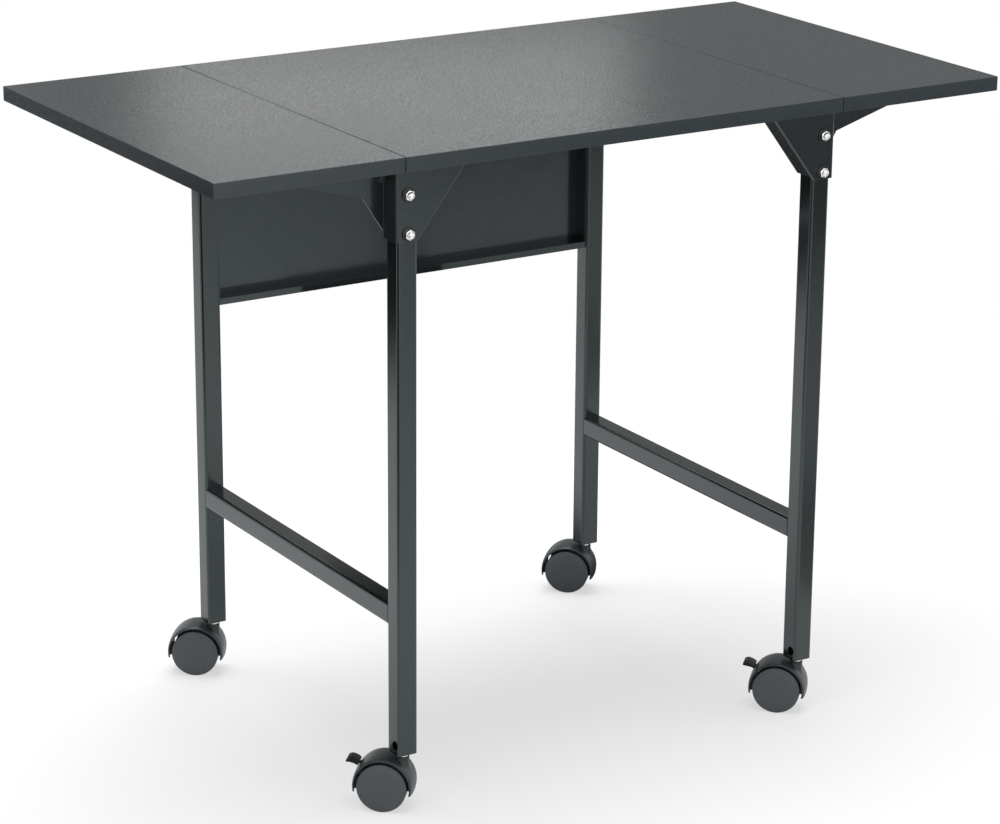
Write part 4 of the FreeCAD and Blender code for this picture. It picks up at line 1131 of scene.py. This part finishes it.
def add_shell(form, braked):
    """The crowned shell, with the slot for a brake lever where there is one."""
    angles = shell_angles()
    rows = []
    for k, degrees in enumerate(angles):
        at_end = k in (0, len(angles) - 1)
        outer, right_bead, inner, left_bead = shell_section(END_SHRINK if at_end else 0)
        a = math.radians(degrees)
        rows.append([
            vertex(form, r * math.cos(a), y, r * math.sin(a))
            for y, r in outer + right_bead + inner + left_bead
        ])
    columns, bead, count = len(outer), len(right_bead), len(rows[0])
    middle = columns // 2
    slot_columns = {middle - 1, middle}

    def below(column):
        """The inner column under an outer one."""
        return columns + bead + (columns - 1 - column)

    def end_wall(row, column):
        """A face from the outer to the inner skin, across a row."""
        after = column + 1
        form.faces.new((row[column], row[after], row[below(after)], row[below(column)]))

    open_cells = set()
    if braked:
        open_rows = [k for k, a in enumerate(angles[:-1]) if SLOT_LOW <= a < SLOT_HIGH]
        open_cells = {(k, column) for k in open_rows for column in slot_columns}
        open_cells |= {(k, below(column + 1)) for k in open_rows for column in slot_columns}
        for k in open_rows:
            for column in (middle - 1, middle + 1):
                row, other, under = rows[k], rows[k + 1], below(column)
                form.faces.new((row[column], other[column], other[under], row[under]))
        for k in (open_rows[0], open_rows[-1] + 1):
            for column in slot_columns:
                end_wall(rows[k], column)
    for k, (row, following) in enumerate(zip(rows, rows[1:])):
        for column in range(count):
            if (k, column) in open_cells:
                continue
            after = (column + 1) % count
            form.faces.new((row[column], row[after], following[after], following[column]))
    for row in (rows[0], rows[-1]):
        for column in range(columns - 1):
            end_wall(row, column)
        form.faces.new(row[columns - 1:columns + bead + 1])
        form.faces.new(row[2 * columns + bead - 1:] + [row[0]])


print("shell from", round(TAIL, 1), "to", round(NOSE, 1), "degrees")

# %% [markdown]
# The neck rises from the shell round the stem. A fillet rolls round its foot, tighter on the
# side where the shell is already high. The core is a thick plate between the wheels. It stops
# short of the shell at the trailing side, and that gap lets a sliver of light through.

# %% The neck and the core
TRAIL, NECK_RADIUS, NECK_TOP, NECK_STRAIGHT = 18.6, 6.8, 30.3, 0.8
FILLET_SHARE, FILLET_LEAST, FILLET_MOST, FOOT_SUNK = 0.75, 0.25, 3.4, 0.8
NECK_RIM_IN_AND_DOWN = ((0, 0.5), (0.15, 0.15), (0.5, 0))
STEM_BORE, NECK_BORE_DEPTH = 3.5, 6
CORE_HALF, CORE_BOSS, CORE_INNER, CORE_SUNK = 5.6, 7.5, 13.0, 0.3
FRONT_GAP, REAR_GAP = 14.0, 38.0
LIP_INNER, LIP_OUTER, LIP_HALF, FRONT_LIP, REAR_LIP = 26.1, 29.2, 9.0, 15.0, 7.0
PIN_TRAIL, PIN_RISE, SLOT_REACH = 19.5, 15.5, 4.6


def shell_height(x, y):
    """The height of the shell's outer face over a place."""
    return math.sqrt(max(crowned(y) ** 2 - x ** 2, 0))


def add_neck(form):
    """The neck with its rolled foot."""
    steps, rings = 48, 8
    angles = [2 * math.pi * k / steps for k in range(steps)]
    levels = []
    for ring in range(-1, rings + 1):
        bend = math.radians(90 * (1 - ring / rings)) if ring >= 0 else math.radians(90)
        sunk = FOOT_SUNK if ring < 0 else 0.05
        places = []
        for a in angles:
            x, y = -TRAIL + NECK_RADIUS * math.cos(a), NECK_RADIUS * math.sin(a)
            room = FILLET_SHARE * (NECK_TOP - NECK_STRAIGHT - shell_height(x, y))
            fillet = min(max(room, FILLET_LEAST), FILLET_MOST)
            radius = NECK_RADIUS + fillet * (1 - math.cos(bend))
            x, y = -TRAIL + radius * math.cos(a), radius * math.sin(a)
            height = shell_height(x, y) + fillet * (1 - math.sin(bend)) - sunk
            places.append(vertex(form, x, y, height))
        levels.append(places)
    rim = [(NECK_RADIUS - inwards, NECK_TOP - down) for inwards, down in NECK_RIM_IN_AND_DOWN]
    bore = [(STEM_BORE, NECK_TOP), (STEM_BORE, NECK_TOP - NECK_BORE_DEPTH)]
    levels += [ring_of(form, radius, height, steps, -TRAIL) for radius, height in rim + bore]
    bridge(form, levels)
    form.faces.new(levels[0])
    form.faces.new(levels[-1])


def add_plate(form, outline, low, high):
    """A flat plate with an outline in X and Z, between two places along the axle."""
    near, far = ([vertex(form, x, y, z) for x, z in outline] for y in (low, high))
    form.faces.new(near)
    form.faces.new(reversed(far))
    bridge(form, [near, far])


def arc(radius, start, end, count):
    """Places on a circle round the axle, from one angle to another."""
    angles = (math.radians(start + (end - start) * k / count) for k in range(count + 1))
    return [(radius * math.cos(a), radius * math.sin(a)) for a in angles]


def core_outline(gap, slotted):
    """The outline of the core. A slotted layer leaves room for the brake lever."""

    def coarse_arc(radius, start, end):
        """An arc with a place about every six degrees."""
        return arc(radius, start, end, max(int(abs(end - start) / 6), 2))

    reach = RIM + CROWN - WALL + CORE_SUNK
    outline = coarse_arc(CORE_INNER, TAIL, gap)
    if slotted:
        floor = [(PIN_TRAIL, PIN_RISE - SLOT_REACH), (PIN_TRAIL - SLOT_REACH, PIN_RISE)]
        outline += coarse_arc(reach, gap, SLOT_LOW) + floor
        outline += coarse_arc(reach, SLOT_HIGH, NOSE)
    else:
        outline += coarse_arc(reach, gap, NOSE)
    return outline + coarse_arc(CORE_BOSS, NOSE, 360 + TAIL)


def hood_mesh(place, braked):
    """A whole hood in the table's frame."""
    form = bmesh.new()
    add_shell(form, braked)
    add_neck(form)
    gap, lip_end = (FRONT_GAP, FRONT_LIP) if braked else (REAR_GAP, REAR_LIP)
    lip = arc(LIP_INNER, TAIL, lip_end, 6) + arc(LIP_OUTER, lip_end, TAIL, 6)
    add_plate(form, lip, -LIP_HALF, LIP_HALF)
    if braked:
        add_plate(form, core_outline(gap, False), -CORE_HALF, -SLOT_HALF)
        add_plate(form, core_outline(gap, True), -SLOT_HALF, SLOT_HALF)
        add_plate(form, core_outline(gap, False), SLOT_HALF, CORE_HALF)
    else:
        add_plate(form, core_outline(gap, False), -CORE_HALF, CORE_HALF)
    return from_form("hood", form, place)


for corner in CORNERS:
    mesh = hood_mesh(caster_place(corner), "front" in corner)
    stand_for(corner + "_hood_moulding", mesh, corner + "_hood", 38)
print("four hoods")

# %% [markdown]
# ## Stems
#
# The stem is turned steel, pressed into the neck. Under the leg it has a collar that takes the
# load, and near its top a groove for the socket's snap ring.

# %% Stems
STEM_FOOT, STEM_TOP, STEM_RADIUS = 1.6, 68.6, 3.94
COLLAR_FOOT, COLLAR_TOP, COLLAR_RADIUS, COLLAR_BEVEL = 30.6, 34.3, 5.8, 0.3
GROOVE_FOOT, GROOVE_TOP, GROOVE_DEPTH, GROOVE_SLOPE = 59.2, 61.6, 0.6, 0.4


def stem_mesh(place):
    """A stem in the table's frame. Its profile is measured from the axle's height."""
    collar, groove = COLLAR_RADIUS - COLLAR_BEVEL, STEM_RADIUS - GROOVE_DEPTH
    profile = [
        (0, STEM_FOOT), (STEM_BORE, STEM_FOOT), (STEM_BORE, COLLAR_FOOT), (collar, COLLAR_FOOT),
        (COLLAR_RADIUS, COLLAR_FOOT + COLLAR_BEVEL), (COLLAR_RADIUS, COLLAR_TOP - COLLAR_BEVEL),
        (collar, COLLAR_TOP), (STEM_RADIUS, COLLAR_TOP), (STEM_RADIUS, GROOVE_FOOT),
        (groove, GROOVE_FOOT + GROOVE_SLOPE), (groove, GROOVE_TOP - GROOVE_SLOPE),
        (STEM_RADIUS, GROOVE_TOP), (STEM_RADIUS, STEM_TOP - GROOVE_DEPTH),
        (STEM_RADIUS - GROOVE_DEPTH, STEM_TOP), (0, STEM_TOP),
    ]
    return turned_mesh("stem", profile, 40, place @ Matrix.Translation((-TRAIL * MM, 0, 0)))


for corner in CORNERS:
    stand_for(corner + "_stem_turned", stem_mesh(caster_place(corner)), corner + "_stem", 30)
print("four stems")

# %% [markdown]
# ## Brake levers
#
# Only the front casters have a brake. The lever's tongue comes out of the hood's slot and ends
# in an arched pad for the toe, with grooves across it for grip. The pad is one smooth section
# pulled sideways, with its two ends rounded over.

# %% Brake levers
LEVER_ANGLE, PAD_HALF, TONGUE_HALF = 38.5, 9.5, 1.9
GRIP_GROOVES, GRIP_DEPTH, GRIP_FROM = 6, 0.5, 0.12
# The pad's section as (forward, up) from the pin, before the lever is tilted.
PAD_TOP = ((7.6, 1.1), (10.1, 1.6), (13.5, 0.95), (16.5, -0.25), (18.6, -2.1), (19.8, -4.8))
PAD_BELOW = ((18.5, -5.7), (17.3, -4.3), (15.7, -3.3), (12.2, -1.6), (7.6, -0.6))
# Each section as (share of the half width, how far it is drawn in).
PAD_ENDS = ((-1, 0.5), (-0.985, 0.2), (-0.945, 0), (0.945, 0), (0.985, 0.2), (1, 0.5))
TONGUE = ((1.9, 1.9), (10.0, 0.9), (10.0, 0.0), (1.9, -1.9))
PIN_BORE, EYE_RADIUS = 1.31, 2.6


def smooth_through(points, steps):
    """A Catmull-Rom curve through points."""
    ends = [points[0], *points, points[-1]]
    curve = []
    for before, start, end, after in zip(ends, ends[1:], ends[2:], ends[3:]):
        for k in range(steps):
            t = k / steps
            curve.append(tuple(
                0.5 * (2 * s + (e - b) * t + (2 * b - 5 * s + 4 * e - a) * t * t
                       + (3 * s - b - 3 * e + a) * t ** 3)
                for b, s, e, a in zip(before, start, end, after)
            ))
    return curve + [points[-1]]


def sunk(place, before, after, depth):
    """A place on a curve moved to the inner side of its neighbours by a depth."""
    slope = Vector((after[0] - before[0], after[1] - before[1])).normalized()
    return place[0] + slope.y * depth, place[1] - slope.x * depth


def pad_section():
    """The pad's section: a grooved top, a round tip and a plain underside."""
    top = smooth_through(PAD_TOP, 14)
    grooved = []
    for k, place in enumerate(top):
        share = k / (len(top) - 1)
        wave = max(math.cos(2 * math.pi * GRIP_GROOVES * share), 0)
        depth = GRIP_DEPTH * wave ** 3 if share > GRIP_FROM else 0
        grooved.append(sunk(place, top[max(k - 1, 0)], top[min(k + 1, len(top) - 1)], depth))
    return grooved + smooth_through(PAD_BELOW, 6)


def drawn_in(section, distance):
    """A section moved inwards by a distance."""
    following = section[1:] + section[:1]
    return [sunk(place, section[k - 1], following[k], distance) for k, place in enumerate(section)]


def lever_mesh(place):
    """A brake lever in the table's frame."""
    form = bmesh.new()
    section = pad_section()
    rings = []
    for across, inwards in PAD_ENDS:
        points = drawn_in(section, inwards) if inwards else section
        rings.append([vertex(form, x, across * PAD_HALF, z) for x, z in points])
    bridge(form, rings)
    form.faces.new(rings[0])
    form.faces.new(rings[-1])
    add_plate(form, TONGUE, -TONGUE_HALF, TONGUE_HALF)
    circle = [2 * math.pi * k / 32 for k in range(32)]
    eye = [
        [vertex(form, r * math.cos(a), y, r * math.sin(a)) for a in circle]
        for r, y in (
            (PIN_BORE, -TONGUE_HALF), (EYE_RADIUS, -TONGUE_HALF),
            (EYE_RADIUS, TONGUE_HALF), (PIN_BORE, TONGUE_HALF),
        )
    ]
    bridge(form, eye + eye[:1])
    at_pin = Matrix.Translation((PIN_TRAIL * MM, 0, PIN_RISE * MM))
    tilt = Matrix.Rotation(math.radians(-LEVER_ANGLE), 4, "Y")
    return from_form("lever", form, place @ at_pin @ tilt)


for corner in CORNERS[:2]:
    mesh = lever_mesh(caster_place(corner))
    stand_for(corner + "_lever_moulding", mesh, corner + "_brake_lever", 50)
print("two brake levers")

# %% [markdown]
# ## The floor
#
# The table is shown on plain white, and the only thing the floor adds is the shadow. So the
# floor is mostly white light of its own, with a share of matt white under it that the shadow
# falls on, and it fades to pure white a metre or so out, where the shadow has run thin.

# %% The floor
SHADOW_SHARE, FADE_FROM, FADE_TO, FLOOR_REACH = 0.42, 0.5, 1.2, 14.0
MATT_WHITE = (0.93, 0.93, 0.93, 1)


def floor_finish():
    """White floor that keeps the shadow near the table."""
    material = bpy.data.materials.new("pale_floor")
    graph = empty_graph(material)
    place = graph.add("ShaderNodeTexCoord", output="Object")
    far = graph.add("ShaderNodeVectorMath", {0: place}, "Value", operation="LENGTH")
    share = graph.step(far, FADE_FROM, FADE_TO, 1 - SHADOW_SHARE, 1.0) * white_where_seen(graph)
    matt = graph.add("ShaderNodeBsdfDiffuse", {"Color": MATT_WHITE})
    white = graph.add("ShaderNodeEmission", {"Color": PLAIN_WHITE, "Strength": 1.0})
    graph.node("ShaderNodeOutputMaterial", {0: graph.mix(share, matt, white)})
    return material


low, high = (-FLOOR_REACH, -FLOOR_REACH), (FLOOR_REACH, FLOOR_REACH)
card("studio_floor", lying_card(low, high, 0.0), floor_finish())
print("floor laid")
